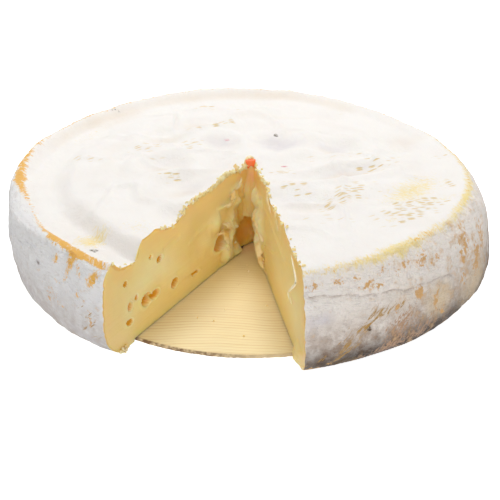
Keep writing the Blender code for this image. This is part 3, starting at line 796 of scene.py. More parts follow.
@dataclass
class Cheese:
    """The wheel without its wedge: the rind, the foot and both cuts, as one closed skin."""

    form: WheelForm
    weathering: Weathering
    faces: tuple[CutFace, CutFace]
    rows: int = 78
    base_columns: int = 36
    # Rings start this far from the tip, and the columns double where rings pass these distances.
    first_ring: float = 2.0
    doublings: tuple[float, ...] = (4.0, 8.0, 17.0, 34.0)
    ring_gap: float = 0.95
    side_rings: int = 46
    margin: float = 0.9
    # How far in front of the tip the torn paste closes the wedge above the hollow.
    wall_reach: float = 5.4
    # Heights between which the wall comes forward, and between which it draws back again.
    wall_foot: tuple[float, float] = (10.6, 12.6)
    wall_top: tuple[float, float] = (20.0, 26.0)
    # Distances from the tip between which a cut turns from facing forward to its own way.
    turning: tuple[float, float] = (3.0, 8.5)
    hollow_centre: tuple[float, float, float] = (-2.1, -1.7, 3.4)
    hollow_half: tuple[float, float, float] = (4.6, 4.3, 9.0)

    def stages(self) -> list[float]:
        """The rings' stages: over the top, down the side, and the few below."""
        reach = self.form.radius
        count = round((reach - self.first_ring) / self.ring_gap)
        top = [(self.first_ring + (reach - self.first_ring) * i / count) / reach for i in range(count)]
        turns = [i / self.side_rings for i in range(self.side_rings + 1)]
        side = [1.0 + q - 0.35 * math.sin(2.0 * math.pi * q) / (2.0 * math.pi) for q in turns]
        return top + side + [2.1, 2.2, 2.3, 2.5, 2.75, 2.97]

    def columns(self, stage: float) -> int:
        """How many columns a ring has, so that they stay about as far apart."""
        if stage > 2.0:
            distance = self.form.radius * (1.0 - 0.75 * (stage - 2.0)) / 4.0
        else:
            distance = min(stage, 1.0) * self.form.radius
        return self.base_columns * 2 ** sum(distance > limit for limit in self.doublings)

    def ring(self, skin: Skin, stage: float) -> Array:
        """Add one ring of the rind, from the right cut round the back to the left cut."""
        distance = self.form.radius * (min(stage, 1.0) if stage <= 2.0 else min(1.0, 3.0 - stage))
        inset = math.degrees(math.asin(min(self.margin / distance, 0.5)))
        low, high = self.form.right_azimuth + inset, 360.0 + self.form.left_azimuth - inset
        azimuth = np.linspace(low, high, self.columns(stage) + 1)
        where = np.full(azimuth.shape, stage)
        points = self.form.surface(azimuth, where)
        return skin.add_points(points, self.weathering.attributes(self.form, points, where))

    def build_rind(self, skin: Skin) -> tuple[Array, Array]:
        """Add the rind and the underside.

        Args:
            skin: The skin in the making.

        Returns:
            The point numbers of its open border, a loop from behind the tip, and their parameters.
        """
        stages = self.stages()
        rings = [self.ring(skin, stage) for stage in stages]
        for inner, outer in zip(rings, rings[1:]):
            if len(inner) == len(outer):
                skin.quads(np.stack([inner, outer]), 0)
            else:
                shares = [np.linspace(0, 1, len(ring)) for ring in (inner, outer)]
                skin.zip_together(inner, shares[0], outer, shares[1], 0)
        first, last, at = rings[0], rings[-1], np.array(stages)
        half, low_half = len(first) // 2, len(last) // 2
        right = np.array([ring[0] for ring in rings])
        left = np.array([ring[-1] for ring in rings])
        near = at[0] * np.arange(half) / half
        far = at[-1] + (3.0 - at[-1]) * np.arange(1, low_half + 1) / low_half
        loop = [first[half:0:-1], right, last[1:-1], left[::-1], first[-2:half - 1:-1]]
        ats = [near, at, far, 6.0 - far[-2::-1], 6.0 - at[::-1], 6.0 - near[::-1]]
        return np.concatenate(loop), np.concatenate(ats)

    def border(self, face: CutFace) -> dict[str, Array]:
        """Lines round one cut, as points and stages: its top, its outer end and its bottom."""
        share = np.linspace(0.0, 1.0, face.columns + 1)
        share = 0.62 * share + 0.38 * share**2
        level = np.linspace(0.0, 1.0, self.rows + 1)
        azimuth = face.azimuth
        foot = float(self.form.reach(np.array([azimuth]), np.zeros(1))[0])
        seat = float(self.form.seat_reach(np.array([azimuth]))[0])
        inner = seat - self.form.seat_step
        below = np.interp(share * foot, [0.0, inner, seat, foot], [3.0, 2.3, 2.2, 2.0])
        lines = {"top": share, "end": 2.0 - level, "bottom": below}
        found = {"share": share, "level": level}
        for key, stage in lines.items():
            found[key] = self.form.surface(np.full(stage.shape, azimuth), stage)
            found[key + " at"] = stage
        return found

    def sheet(self, face: CutFace) -> tuple[Array, Array]:
        """The undisturbed sheet of one cut, stretched between its border lines.

        Args:
            face: The cut.

        Returns:
            Points by row from the bottom and column from the tip, and each point's depth in from
            the rind.
        """
        lines = self.border(face)
        u, v = lines["share"][None, :, None], lines["level"][:, None, None]
        top, bottom, end = lines["top"][None], lines["bottom"][None], lines["end"][:, None]
        tip = bottom[:, :1] * (1.0 - v) + top[:, :1] * v
        corners = (1 - u) * (1 - v) * bottom[:, :1] + u * (1 - v) * bottom[:, -1:]
        corners = corners + (1 - u) * v * top[:, :1] + u * v * top[:, -1:]
        points = (1 - v) * bottom + v * top + (1 - u) * tip + u * end - corners
        over = top[..., 2] - points[..., 2]
        along = (points - tip) @ face.way
        reach = (lines["end"] - lines["bottom"][0]) @ face.way
        return points, np.minimum(np.clip(over, 0.0, None), np.clip(reach[:, None] - along, 0.0, None))

    def hollowed(self, points: Array, facing: Array) -> Array:
        """How far each point moves into the paste to lie on the wall of the hollow at the tip."""
        half = np.array(self.hollow_half)
        at = (points - np.array(self.hollow_centre)) / half
        way = -facing / half
        a, b, c = (way * way).sum(-1), (at * way).sum(-1), (at * at).sum(-1) - 1.0
        root = np.sqrt(np.clip(b * b - a * c, 0.0, None))
        return np.where(c < 0.0, (-b + root) / a, 0.0)

    def edge_stains(self, face: CutFace, points: Array) -> dict[str, Array]:
        """Carry the rind's stains on to the edge of a cut, where rind and paste meet.

        Args:
            face: The cut.
            points: The points of its sheet.

        Returns:
            An array of the sheet's shape for each attribute, 0 inside the edge.
        """
        lines = self.border(face)
        found: dict[str, Array] = {}
        where = {"top": np.s_[-1, :], "end": np.s_[:, -1], "bottom": np.s_[0, :]}
        for key, rows in where.items():
            stains = self.weathering.attributes(self.form, lines[key], lines[key + " at"])
            for name, strength in stains.items():
                found.setdefault(name, np.zeros(points.shape[:2]))[rows] = strength
        return found

    def build_faces(self, skin: Skin) -> tuple[Array, Array]:
        """Add both cuts, which share the column of points at the tip.

        Args:
            skin: The skin in the making.

        Returns:
            The point numbers of their border, a loop that starts on top of the tip, and their
            parameters.
        """
        left, right = self.faces
        forward = left.facing + right.facing
        forward = forward / np.linalg.norm(forward)
        numbers = {}
        for face in (right, left):
            points, depth = self.sheet(face)
            along = (points - points[:, :1]) @ face.way
            height = points[..., 2]
            turned = smoothstep(*self.turning, along)[..., None]
            inward = -turned * face.facing - (1.0 - turned) * forward
            inward = inward / np.linalg.norm(inward, axis=-1, keepdims=True)
            relief = face.relief(points, along, height, depth)
            lowest = smoothstep(0.0, 1.2, height - height[:1])
            relief = relief * (0.25 + 0.75 * lowest)
            ahead = (points - points[:, :1]) @ forward
            wall = self.wall_reach * smoothstep(*self.wall_foot, height)
            wall = wall * (1.0 - 0.4 * smoothstep(*self.wall_top, height))
            beyond = smoothstep(-0.4, 2.4, ahead - wall)
            outward = beyond[..., None] * face.facing + (1.0 - beyond[..., None]) * forward
            wall = wall - ahead
            wall = 0.5 * (wall + np.sqrt(wall * wall + 0.5)) * smoothstep(0.0, 1.8, depth)
            relief = relief * (0.25 + 0.75 * smoothstep(0.0, 5.0, along - 4.0))
            sunk = self.hollowed(points, -inward) * smoothstep(0.2, 1.5, depth)
            ragged = 1.0 + 0.10 * noise(points, 2.2, 121, 2)
            sunk = sunk * ragged * (0.3 + 0.7 * smoothstep(0.0, 5.0, height - height[:1]))
            rough = 0.20 * noise(points, 0.9, 111 + face.seed) + 0.14 * noise(points, 2.6, 113)
            rough = rough * (1.0 - smoothstep(0.0, 1.0, depth)) * smoothstep(0.0, 2.5, along)
            rough = rough * smoothstep(0.0, 1.5, height - height[:1])
            moved = points + outward * (relief + rough)[..., None]
            moved = moved + forward * wall[..., None] + inward * sunk[..., None]
            torn = face.torn(along, height)
            values = {
                "depth": depth, "along": along * face.side.value, "height": height,
                "stain": (1.0 - smoothstep(1.5, 4.5, along)) * smoothstep(20.5, 24.0, height),
                # Creamy smears from the knife, and a painted highlight on the tops of the torn lumps.
                "cream": face.smeared(along, height) * (1.0 - 0.4 * torn)
                + torn * np.clip(relief, 0.0, 1.2) * 0.9,
                # Painted shade in the creases of the torn paste; the paste is also deeper golden towards the
                # bottom and near the tip.
                "gold": np.clip(0.9 * torn * np.clip(0.15 - relief, 0.0, 1.0)
                                + 0.5 * (1.0 - smoothstep(2.0, 12.0, height))
                                + 0.8 * (1.0 - smoothstep(3.0, 18.0, along)), 0.0, 1.5),
                "cave": np.clip(sunk / 2.0, 0.0, 1.0),
            }
            values.update(self.edge_stains(face, points))
            # The left cut leaves out its first column, which is the right cut's.
            kept = slice(1 if face is left else 0, None)
            flat = {key: value[:, kept].reshape(-1) for key, value in values.items()}
            own = skin.add_points(moved[:, kept].reshape(-1, 3), flat).reshape(len(depth), -1)
            if face is left:
                own = np.concatenate([numbers[right.side][:, :1], own], axis=1)
            numbers[face.side] = own
            skin.quads(own, 1)
        loop, at = [], []
        for face, forward in ((right, True), (left, False)):
            own, lines = numbers[face.side], self.border(face)
            line = [own[-1, :], own[-2:0:-1, -1], own[0, ::-1]]
            stages = [lines["top at"], lines["end at"][-2:0:-1], lines["bottom at"][::-1]]
            line, stages = np.concatenate(line), np.concatenate(stages)
            loop.append(line if forward else line[::-1][1:])
            at.append(stages if forward else 6.0 - stages[::-1][1:])
        return np.concatenate(loop), np.concatenate(at)

    def build(self, materials: list[Material]) -> Object:
        """Make the piece that stands for the solid cheese."""
        skin = Skin()
        rind, rind_at = self.build_rind(skin)
        cut, cut_at = self.build_faces(skin)
        skin.zip_together(rind, rind_at, cut, cut_at, 0)
        return skin.object("cheese_body", materials, 62.0)


def give(tree: NodeTree, node: Node, inputs: dict[int | str, object]) -> None:
    """Set or link a node's inputs.

    Args:
        tree: The node tree.
        node: The node.
        inputs: For each input's name or number a value, a socket to link, or a node whose first
            output is linked.
    """
    for key, value in inputs.items():
        socket = value.outputs[0] if isinstance(value, Node) else value
        if isinstance(socket, NodeSocket):
            tree.links.new(socket, node.inputs[key])
        else:
            node.inputs[key].default_value = value


def add(tree: NodeTree, kind: str, inputs: dict | tuple = (), **settings: object) -> Node:
    """Add a node with its settings, values and links.

    Args:
        tree: The node tree.
        kind: The node's type; a shader node goes by its name alone.
        inputs: What each input gets, as in give, or what its first inputs get in their order.
        **settings: The node's own properties.

    Returns:
        The new node.
    """
    node = tree.nodes.new(kind if "Node" in kind else "ShaderNode" + kind)
    for key, value in settings.items():
        setattr(node, key, value)
    give(tree, node, inputs if isinstance(inputs, dict) else dict(enumerate(inputs)))
    return node


@dataclass(frozen=True)
class Finish:
    """A material in the making, with what every finish here shares."""

    name: str

    def start(self) -> tuple[Material, NodeTree, Node, Node]:
        """Make an empty material.

        Returns:
            The material, its tree, its shader, and the place on the object in millimetres.
        """
        material = bpy.data.materials.new(self.name)
        material.use_nodes = True
        tree = material.node_tree
        tree.nodes.clear()
        shader = add(tree, "BsdfPrincipled")
        add(tree, "OutputMaterial", {"Surface": shader.outputs["BSDF"]})
        place = add(tree, "TexCoord").outputs["Object"]
        scaled = add(tree, "Mapping", {"Vector": place, "Scale": (PER_MM, PER_MM, PER_MM)})
        return material, tree, shader, scaled


def layered(tree: NodeTree, base: Colour, layers: list[tuple[object, str]]) -> NodeSocket:
    """Lay colours over each other, each by its own mask.

    Args:
        tree: The node tree.
        base: The colour at the bottom.
        layers: A mask and a hex value for each layer, the lowest first.

    Returns:
        The socket of the finished colour.
    """
    colour = base
    for mask, code in layers:
        inputs = {0: mask, 6: colour, 7: linear(code)}
        colour = add(tree, "Mix", inputs, data_type="RGBA").outputs[2]
    return colour


@dataclass(frozen=True)
class BloomyRind(Finish):
    """Washed rind under a white bloom of mould, dried on racks: chalky and dull, with the cloth's print as
    short ochre dashes, and bare orange rind where the bloom is rubbed off along the rim. Shade is painted on
    it low on the side and at its foot, in the side's creases and wrinkles, in the top's dimples and in the
    channel at the back."""

    name: str = "bloomy_washed_rind"
    bloom: str = "#F7F3EE"
    side_bloom: str = "#F0EEED"
    warm_side: str = "#F8EFE6"
    # Painted shade low on the side.
    low_side_shade: str = "#8E6B4C"
    # Painted shade at the foot of the side, near black.
    foot: str = "#2E2219"
    soil: str = "#DCB483"
    rust: str = "#DDAE72"
    # Painted shade along the side's creases.
    crease_shade: str = "#C6B8AE"
    # Painted shade in the troughs of the side's wrinkles.
    crevice_shade: str = "#BDAFA6"
    # Grey-lilac of grey patches, and of painted shade in dents and dimples.
    lilac: str = "#D9D2D6"
    # Tan of the side's beige patches and of painted shade on the top.
    tan: str = "#E6CFAE"
    yellow: str = "#F4DE96"
    orange: str = "#EFB64C"
    burnt: str = "#E0A040"
    brown: str = "#B88F4E"
    hatched: str = "#BF9878"
    pink: str = "#D87C88"
    dark: str = "#5E4A30"
    # Sizes in millimetres.
    fuzz: float = 0.35
    grain: float = 1.1
    mottle: float = 3.2
    cloud: float = 14.0
    dash_length: float = 3.0
    dash_gap: float = 0.75
    dash_turn: float = 17.0
    brush: tuple[float, float] = (1.3, 0.8)
    hatch: tuple[float, float] = (4.5, 0.9)
    weave: tuple[float, float] = (1.6, 0.55)
    wrinkle: tuple[float, float] = (2.6, 0.9)

    def build(self) -> Material:
        """Make the material."""
        material, tree, shader, place = self.start()
        put = partial(add, tree)
        fine, grain, mottle, cloud = (
            put("TexNoise", {"Vector": place, "Scale": 1 / size, "Detail": detail, "Roughness": rough})
            for size, detail, rough in (
                (self.fuzz, 3.0, 0.5), (self.grain, 4.0, 0.65), (self.mottle, 5.0, 0.6),
                (self.cloud, 3.0, 0.5)))
        turned = put("Mapping", {"Vector": place, "Rotation": (0.0, 0.0, math.radians(self.dash_turn)),
            "Scale": (self.dash_length, self.dash_gap, 8.0)}, vector_type="TEXTURE")
        dashes = put("TexVoronoi", {"Vector": turned, "Scale": 1.0, "Randomness": 0.8})
        chosen = put("SeparateColor", (dashes.outputs["Color"],))
        marks = {}
        for key in ("orange", "yellow", "brown", "grey", "beige", "pink", "dark", "print", "side", "soil",
                    "rust", "crease", "hatched", "around", "down"):
            marks[key] = put("Attribute", attribute_name=key).outputs["Fac"]
        rolled = put("CombineXYZ", (marks["around"], marks["down"]))
        strokes = {}
        for key, size, turn in (("brushed", self.brush, 90.0), ("hatched", self.hatch, -42.0),
                                ("woven", self.weave, -48.0), ("wrinkled", self.wrinkle, 8.0)):
            laid = put("Mapping", {"Vector": rolled, "Rotation": (0.0, 0.0, math.radians(turn)),
                "Scale": (*size, 1.0)}, vector_type="TEXTURE")
            strokes[key] = put("TexNoise", {"Vector": laid, "Scale": 1.0, "Detail": 4.0, "Distortion": 1.1})
        # Each mask: the stain, the pattern that breaks it up, how much, and the edges of its step. The crease
        # mask and parts of the grey and beige masks are painted shade.
        broken = {
            "orange": ("orange", strokes["brushed"], 1.9, 0.50, 1.0),
            "burnt": ("orange", mottle, 3.0, 1.2, 1.9), "soil": ("soil", mottle, 3.2, 0.75, 1.6),
            "yellow": ("yellow", strokes["brushed"], 2.2, 0.25, 1.3),
            "brown": ("brown", strokes["hatched"], 4.4, 0.6, 1.3),
            "hatched": ("hatched", strokes["woven"], 3.6, 0.6, 1.3),
            "rust": ("rust", grain, 4.0, 0.45, 1.05), "crease": ("crease", grain, 0.8, 0.2, 1.0),
            "grey": ("grey", mottle, 0.6, 0.05, 1.25), "beige": ("beige", cloud, 0.3, 0.0, 1.3),
            "pink": ("pink", fine, 0.5, 0.3, 1.0), "dark": ("dark", grain, 1.6, 0.35, 0.9),
        }
        masks = {}
        for key, (stain, pattern, much, low, high) in broken.items():
            centred = put("Math", (pattern, 0.5), operation="SUBTRACT")
            mixed = put("Math", (centred, much, marks[stain]), operation="MULTIPLY_ADD")
            step = put("MapRange", {"Value": mixed, "From Min": low, "From Max": high},
                interpolation_type="SMOOTHSTEP")
            held = put("Math", (marks[stain], 8.0), operation="MULTIPLY", use_clamp=True)
            masks[key] = put("Math", (step, held), operation="MULTIPLY")
        dash = put("Math", (marks["print"], 1.15), operation="MULTIPLY")
        dash = put("Math", (dash, chosen), operation="SUBTRACT")
        dash = put("Math", (dash, 4.0), operation="MULTIPLY", use_clamp=True)
        inside = put("MapRange", {"Value": dashes.outputs["Distance"], "From Min": 0.5, "From Max": 0.24},
            interpolation_type="SMOOTHSTEP")
        dash = put("Math", (dash, inside), operation="MULTIPLY")
        printed = put("Math", (dash, marks["side"]), operation="SUBTRACT", use_clamp=True)
        faint = put("MapRange", {"Value": cloud, "From Min": 0.42, "From Max": 0.75, "To Max": 0.45})
        axes = put("SeparateXYZ", (place,))
        warm = put("MapRange", {"Value": axes, "From Min": -20.0, "From Max": 25.0})
        warm = put("Math", (warm, marks["side"]), operation="MULTIPLY")
        # Painted shade: the side darkens towards the bottom, broken up by the mottle and weaker towards -x.
        low = put("MapRange", {"Value": axes.outputs[2], "From Min": 21.0, "From Max": 3.0, "To Max": 1.0},
            interpolation_type="SMOOTHSTEP")
        patchy = put("Math", (mottle, 3.0, -0.75), operation="MULTIPLY_ADD", use_clamp=True)
        low = put("Math", (low, patchy), operation="MULTIPLY", use_clamp=True)
        tinted = put("MapRange", {"Value": warm, "To Min": 0.45, "To Max": 1.0})
        low = put("Math", (low, marks["side"]), operation="MULTIPLY")
        low = put("Math", (low, tinted), operation="MULTIPLY")
        # Painted shade in the troughs of the side's wrinkles.
        crevice_shade = put("MapRange", {"Value": strokes["wrinkled"], "From Min": 0.46, "From Max": 0.34,
            "To Max": 0.24})
        crevice_shade = put("Math", (crevice_shade, marks["side"]), operation="MULTIPLY")
        # Painted shade at the foot, near black, only towards +x.
        foot = put("MapRange", {"Value": axes.outputs[2], "From Min": 10.5, "From Max": 2.5, "To Max": 1.0},
            interpolation_type="SMOOTHSTEP")
        foot = put("Math", (foot, warm), operation="MULTIPLY")
        colour = layered(tree, linear(self.bloom), [(faint, "#F0E8E1"), (marks["side"], self.side_bloom),
            (warm, self.warm_side), (low, self.low_side_shade), (foot, self.foot), (masks["soil"], self.soil),
            (masks["grey"], self.lilac), (masks["beige"], self.tan), (crevice_shade, self.crevice_shade),
            (masks["crease"], self.crease_shade), (masks["hatched"], self.hatched), (masks["rust"], self.rust),
            (masks["yellow"], self.yellow), (printed, "#E8D09C"), (masks["brown"], self.brown),
            (masks["orange"], self.orange), (masks["burnt"], self.burnt), (masks["pink"], self.pink),
            (masks["dark"], self.dark)])
        rough = put("MapRange", {"Value": masks["orange"], "To Min": 0.82, "To Max": 0.5})
        relief = put("Math", (grain, fine))
        folded = put("Math", (strokes["wrinkled"], 0.5), operation="SUBTRACT")
        folded = put("Math", (folded, marks["side"]), operation="MULTIPLY")
        relief = put("Math", (folded, 2.2, relief), operation="MULTIPLY_ADD")
        sunk = put("Math", (printed, -0.8, relief), operation="MULTIPLY_ADD")
        bumps = put("Bump", {"Height": sunk, "Strength": 0.8, "Distance": 0.25 * MM})
        rugged = put("MapRange", {"Value": marks["side"], "To Min": 0.35, "To Max": 1.3})
        rugged = put("Math", (mottle, rugged), operation="MULTIPLY")
        wide = put("Bump", {"Height": rugged, "Strength": 1.0, "Distance": 0.9 * MM, "Normal": bumps})
        give(tree, shader, {"Base Color": colour, "Roughness": rough, "Normal": wide, "IOR": 1.4,
            "Subsurface Weight": 0.12, "Subsurface Radius": (1.0, 0.75, 0.5), "Subsurface Scale": 0.8 * MM,
            "Sheen Weight": 0.12, "Sheen Roughness": 0.6})
        return material


@dataclass(frozen=True)
class SoftPaste(Finish):
    """Soft pressed paste, cut with a knife: ivory yellow, moist and waxy, light sinks a little into it, and
    it is browner close under the rind and deeper golden where it is torn, low down, near the tip and in the
    hollow at the tip. Painted shade darkens the creases of the torn paste and the insides of the eyes,
    painted highlights lie on the torn lumps and round the eyes, and the hollow at the tip has a faint painted
    glow."""

    name: str = "soft_cut_paste"
    ivory: str = "#F8E09A"
    # Painted shade in the torn paste's creases, and the deeper golden paste low down and near the tip.
    deep: str = "#F6CF74"
    # Colour of the knife's smears and of painted highlights.
    cream: str = "#FDF0C0"
    # Painted shade inside the eyes.
    hollow: str = "#E4A608"
    cave: str = "#F6BE5A"
    under_rind: str = "#F3CE84"
    crust: str = "#DBA758"
    stained: str = "#FFCB84"
    # A faint painted glow: the paste gives off light of its own in the hollow at the tip, standing in for
    # light that soaks through it.
    painted_glow: float = 0.035
    # Sizes in millimetres.
    drag_gap: float = 0.55
    drag_length: float = 14.0
    cloud: float = 7.0
    pore: float = 0.5

    def build(self) -> Material:
        """Make the material."""
        material, tree, shader, place = self.start()
        put = partial(add, tree)
        marks = {}
        for key in ("depth", "along", "height", "stain", "cream", "gold", "cave"):
            marks[key] = put("Attribute", attribute_name=key).outputs["Fac"]
        face = put("CombineXYZ", (marks["along"], marks["height"]))
        drawn = put("Mapping", {"Vector": face, "Scale": (1 / self.drag_length, 1 / self.drag_gap, 1.0)})
        drag = put("TexNoise", {"Vector": drawn, "Scale": 1.0, "Detail": 3.0})
        cloud = put("TexNoise", {"Vector": place, "Scale": 1 / self.cloud, "Detail": 4.0})
        pores = put("TexNoise", {"Vector": place, "Scale": 1 / self.pore, "Detail": 3.0})
        band = put("MapRange", {"Value": marks["depth"], "From Min": 6.0, "From Max": 0.6, "To Max": 0.45},
            interpolation_type="SMOOTHSTEP")
        crust = put("MapRange", {"Value": marks["depth"], "From Min": 0.75, "From Max": 0.15,
            "To Max": 0.7}, interpolation_type="SMOOTHSTEP")
        patchy = put("Math", (cloud, 0.55, -0.1), operation="MULTIPLY_ADD", use_clamp=True)
        gold = put("Math", (marks["gold"], 0.8), operation="MULTIPLY", use_clamp=True)
        cream = put("Math", (marks["cream"], cloud), operation="MULTIPLY")
        cream = put("Math", (cream, 1.5), operation="MULTIPLY", use_clamp=True)
        uneven = put("Math", (cloud, 0.8, -0.4), operation="MULTIPLY_ADD")
        nearest = None
        for middle, level, half_length, half_height, _ in LEFT_FACE.eyes:
            spot = put("Mapping", {"Vector": face, "Location": (middle, level, 0.0), "Scale": (half_length,
                half_height, 1.0)}, vector_type="TEXTURE")
            far = put("VectorMath", (spot,), operation="LENGTH").outputs["Value"]
            nearest = far if nearest is None else put("Math", (nearest, far),
                                                 operation="MINIMUM")
        nearest = put("Math", (nearest, uneven))
        # Painted shade fills each eye, and a pale painted highlight rings it just outside.
        painted_eye_shade = put("MapRange", {"Value": nearest, "From Min": 1.08, "From Max": 0.82})
        lit = put("Math", (nearest, 1.22, 0.12), operation="COMPARE")
        lit = put("Math", (lit, 0.35), operation="MULTIPLY")
        colour = layered(tree, linear(self.ivory), [(patchy, "#F2D288"), (band, self.under_rind), (gold,
            self.deep), (cream, self.cream), (lit, self.cream), (painted_eye_shade, self.hollow), (marks["cave"],
            self.cave), (marks["stain"], self.stained), (crust, self.crust)])
        streak = put("Math", (drag, 0.7), operation="MULTIPLY")
        height = put("Math", (pores, 0.35, streak), operation="MULTIPLY_ADD")
        bumps = put("Bump", {"Height": height, "Strength": 0.5, "Distance": 0.20 * MM})
        # Painted glow in the hollow at the tip.
        soaked = put("Math", (marks["cave"], self.painted_glow), operation="MULTIPLY")
        give(tree, shader, {"Base Color": colour, "Normal": bumps, "Emission Strength": soaked,
            "Emission Color": linear("#E0A030"), "Roughness": 0.42, "IOR": 1.42, "Subsurface Weight": 0.75,
            "Subsurface Radius": (1.0, 0.62, 0.2), "Subsurface Scale": 4.0 * MM})
        return material


@dataclass(frozen=True)
class PeeledSpruce(Finish):
    """Thin rotary-cut spruce, stamped out: pale straw, with fine close rings that run straight
    across, and an edge that the stamp bruised and the fat darkened."""

    name: str = "peeled_spruce"
    pale: str = "#F1E2BA"
    early: str = "#EAD6A0"
    ring: str = "#D6B070"
    # Painted light on the disc towards the wedge's tip.
    painted_light: str = "#FFEFB8"
    edge: str = "#6E4A26"
    edge_right: str = "#D9C093"
    ring_gap: float = 1.4
    fibre_gap: float = 0.35
    radius: float = 60.5

    def build(self) -> Material:
        """Make the material."""
        material, tree, shader, place = self.start()
        put = partial(add, tree)
        bent = put("TexNoise", {"Vector": place, "Scale": 1 / 45.0, "Detail": 2.0})
        axes = put("SeparateXYZ", (place,))
        shift = put("Math", (bent, 9.0, axes.outputs[1]), operation="MULTIPLY_ADD")
        slant = put("Math", (axes, 0.035, shift), operation="MULTIPLY_ADD")
        turns = put("Math", (slant, 1 / self.ring_gap), operation="MULTIPLY")
        saw = put("Math", (turns,), operation="FRACT")
        ring = put("MapRange", {"Value": saw, "From Min": 0.45, "From Max": 0.93})
        gone = put("MapRange", {"Value": saw, "From Min": 1.0, "From Max": 0.93})
        ring = put("Math", (ring, gone), operation="MINIMUM")
        ring = put("Math", (ring, 2.6), operation="POWER")
        number = put("Math", (turns,), operation="FLOOR")
        each = put("TexWhiteNoise", {"W": number}, noise_dimensions="1D")
        each = put("MapRange", {"Value": each, "To Min": 0.25, "To Max": 0.85})
        ring = put("Math", (ring, each), operation="MULTIPLY")
        fibre_place = put("Mapping", {"Vector": place, "Scale": (0.09, 1 / self.fibre_gap, 1.0)})
        fibre = put("TexNoise", {"Vector": fibre_place, "Scale": 1.0, "Detail": 3.0})
        cloud = put("TexNoise", {"Vector": place, "Scale": 1 / 18.0, "Detail": 3.0})
        streak = put("MapRange", {"Value": fibre, "From Min": 0.4, "From Max": 0.7, "To Max": 0.55})
        flat = put("CombineXYZ", (axes, axes.outputs[1]))
        far = put("VectorMath", (flat,), operation="LENGTH")
        rim = put("MapRange", {"Value": far.outputs["Value"], "From Min": self.radius - 0.75,
            "From Max": self.radius - 0.15})
        notch = put("TexNoise", {"Vector": place, "Scale": 0.9, "Detail": 2.0})
        notch = put("MapRange", {"Value": notch, "From Min": 0.3, "From Max": 0.6})
        burnt = put("Math", (rim, notch), operation="MULTIPLY")
        toward = put("MapRange", {"Value": axes, "From Min": 2.0, "From Max": -14.0, "To Min": 0.12,
            "To Max": 0.95})
        burnt = put("Math", (burnt, toward), operation="MULTIPLY")
        # Painted light: the disc is lighter towards the wedge's tip, where the cut's walls shade it.
        painted_light = put("MapRange", {"Value": axes.outputs[1], "From Min": -38.0, "From Max": -8.0,
            "To Max": 0.9})
        colour = layered(tree, linear(self.pale), [(cloud, "#F6E6B4"), (streak, self.early), (ring,
            self.ring), (painted_light, self.painted_light), (rim, self.edge_right), (burnt, self.edge)])
        relief = put("Math", (fibre, ring), operation="SUBTRACT")
        bumps = put("Bump", {"Height": relief, "Strength": 0.45, "Distance": 0.12 * MM})
        give(tree, shader, {"Base Color": colour, "Normal": bumps, "Roughness": 0.62})
        return material


@dataclass(frozen=True)
class Speckled(Finish):
    """A soft, slightly clear stuff of one colour that another shows through in specks."""

    light: str = "#F8E6AE"
    dark: str = "#EBCB82"
    size: float = 1.6
    # Where the specks begin and are full, and how strong they are.
    specks: tuple[float, float, float] = (0.42, 0.66, 1.0)
    # Strength and depth in millimetres of the dents.
    dents: tuple[float, float] = (0.5, 0.2)
    roughness: float = 0.6
    soaked: tuple[float, float, float] = (1.0, 0.7, 0.3)

    def build(self) -> Material:
        """Make the material."""
        material, tree, shader, place = self.start()
        put = partial(add, tree)
        spots = put("TexNoise", {"Vector": place, "Scale": 1 / self.size, "Detail": 3.0})
        low, high, much = self.specks
        mask = put("MapRange", {"Value": spots, "From Min": low, "From Max": high, "To Max": much})
        colour = layered(tree, linear(self.light), [(mask, self.dark)])
        strength, depth = self.dents
        bumps = put("Bump", {"Height": spots, "Strength": strength, "Distance": depth * MM})
        give(tree, shader, {"Base Color": colour, "Normal": bumps, "Roughness": self.roughness,
            "Subsurface Weight": 0.3, "Subsurface Radius": self.soaked, "Subsurface Scale": 0.8 * MM})
        return material


@dataclass(frozen=True)
class DyedCasein(Speckled):
    """Pressed casein, dyed food red and softened by the wet rind: a slightly clear, glossy chip."""

    name: str = "dyed_casein"
    light: str = "#FF7A3C"
    dark: str = "#F2A27C"
    size: float = 1.2
    specks: tuple[float, float, float] = (0.52, 0.75, 0.7)
    dents: tuple[float, float] = (0.4, 0.3)
    roughness: float = 0.3
    soaked: tuple[float, float, float] = (1.0, 0.3, 0.15)


@dataclass(frozen=True)
class Crumb(Speckled):
    """Loose crumbs of paste and of rind: drier than the cut, so paler and dull."""

    name: str = "dry_crumb"


def keep(obj: Object, slot: Slot, *nodes: str) -> Object:
    """Put a finished piece in the frame.

    Args:
        obj: The piece.
        slot: The finish that the record names for it; not used.
        *nodes: The solids that it stands for.

    Returns:
        The same piece.
    """
    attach(obj, "root")
    if nodes:
        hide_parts(*nodes)
    LOG.info("%s: %d faces", obj.name, len(obj.data.polygons))
    return obj


def realised(obj: Object, tree: NodeTree, values: dict[str, object]) -> Object:
    """Run a Geometry Nodes tree on an object and keep the plain mesh that it makes.

    Args:
        obj: The object that carries the tree, whose mesh the tree starts from.
        tree: The node group.
        values: A value for each of its named inputs.

    Returns:
        A new object of the same name, with no modifier.
    """
    modifier = obj.modifiers.new("Make", "NODES")
    modifier.node_group = tree
    names = {item.name: item.identifier for item in tree.interface.items_tree if item.in_out == "INPUT"}
    for key, value in values.items():
        modifier[names[key]] = value
    graph = bpy.context.evaluated_depsgraph_get()
    mesh = bpy.data.meshes.new_from_object(obj.evaluated_get(graph))
    name = obj.name
    bpy.data.objects.remove(obj)
    mesh.name = name
    return placed(name, mesh)


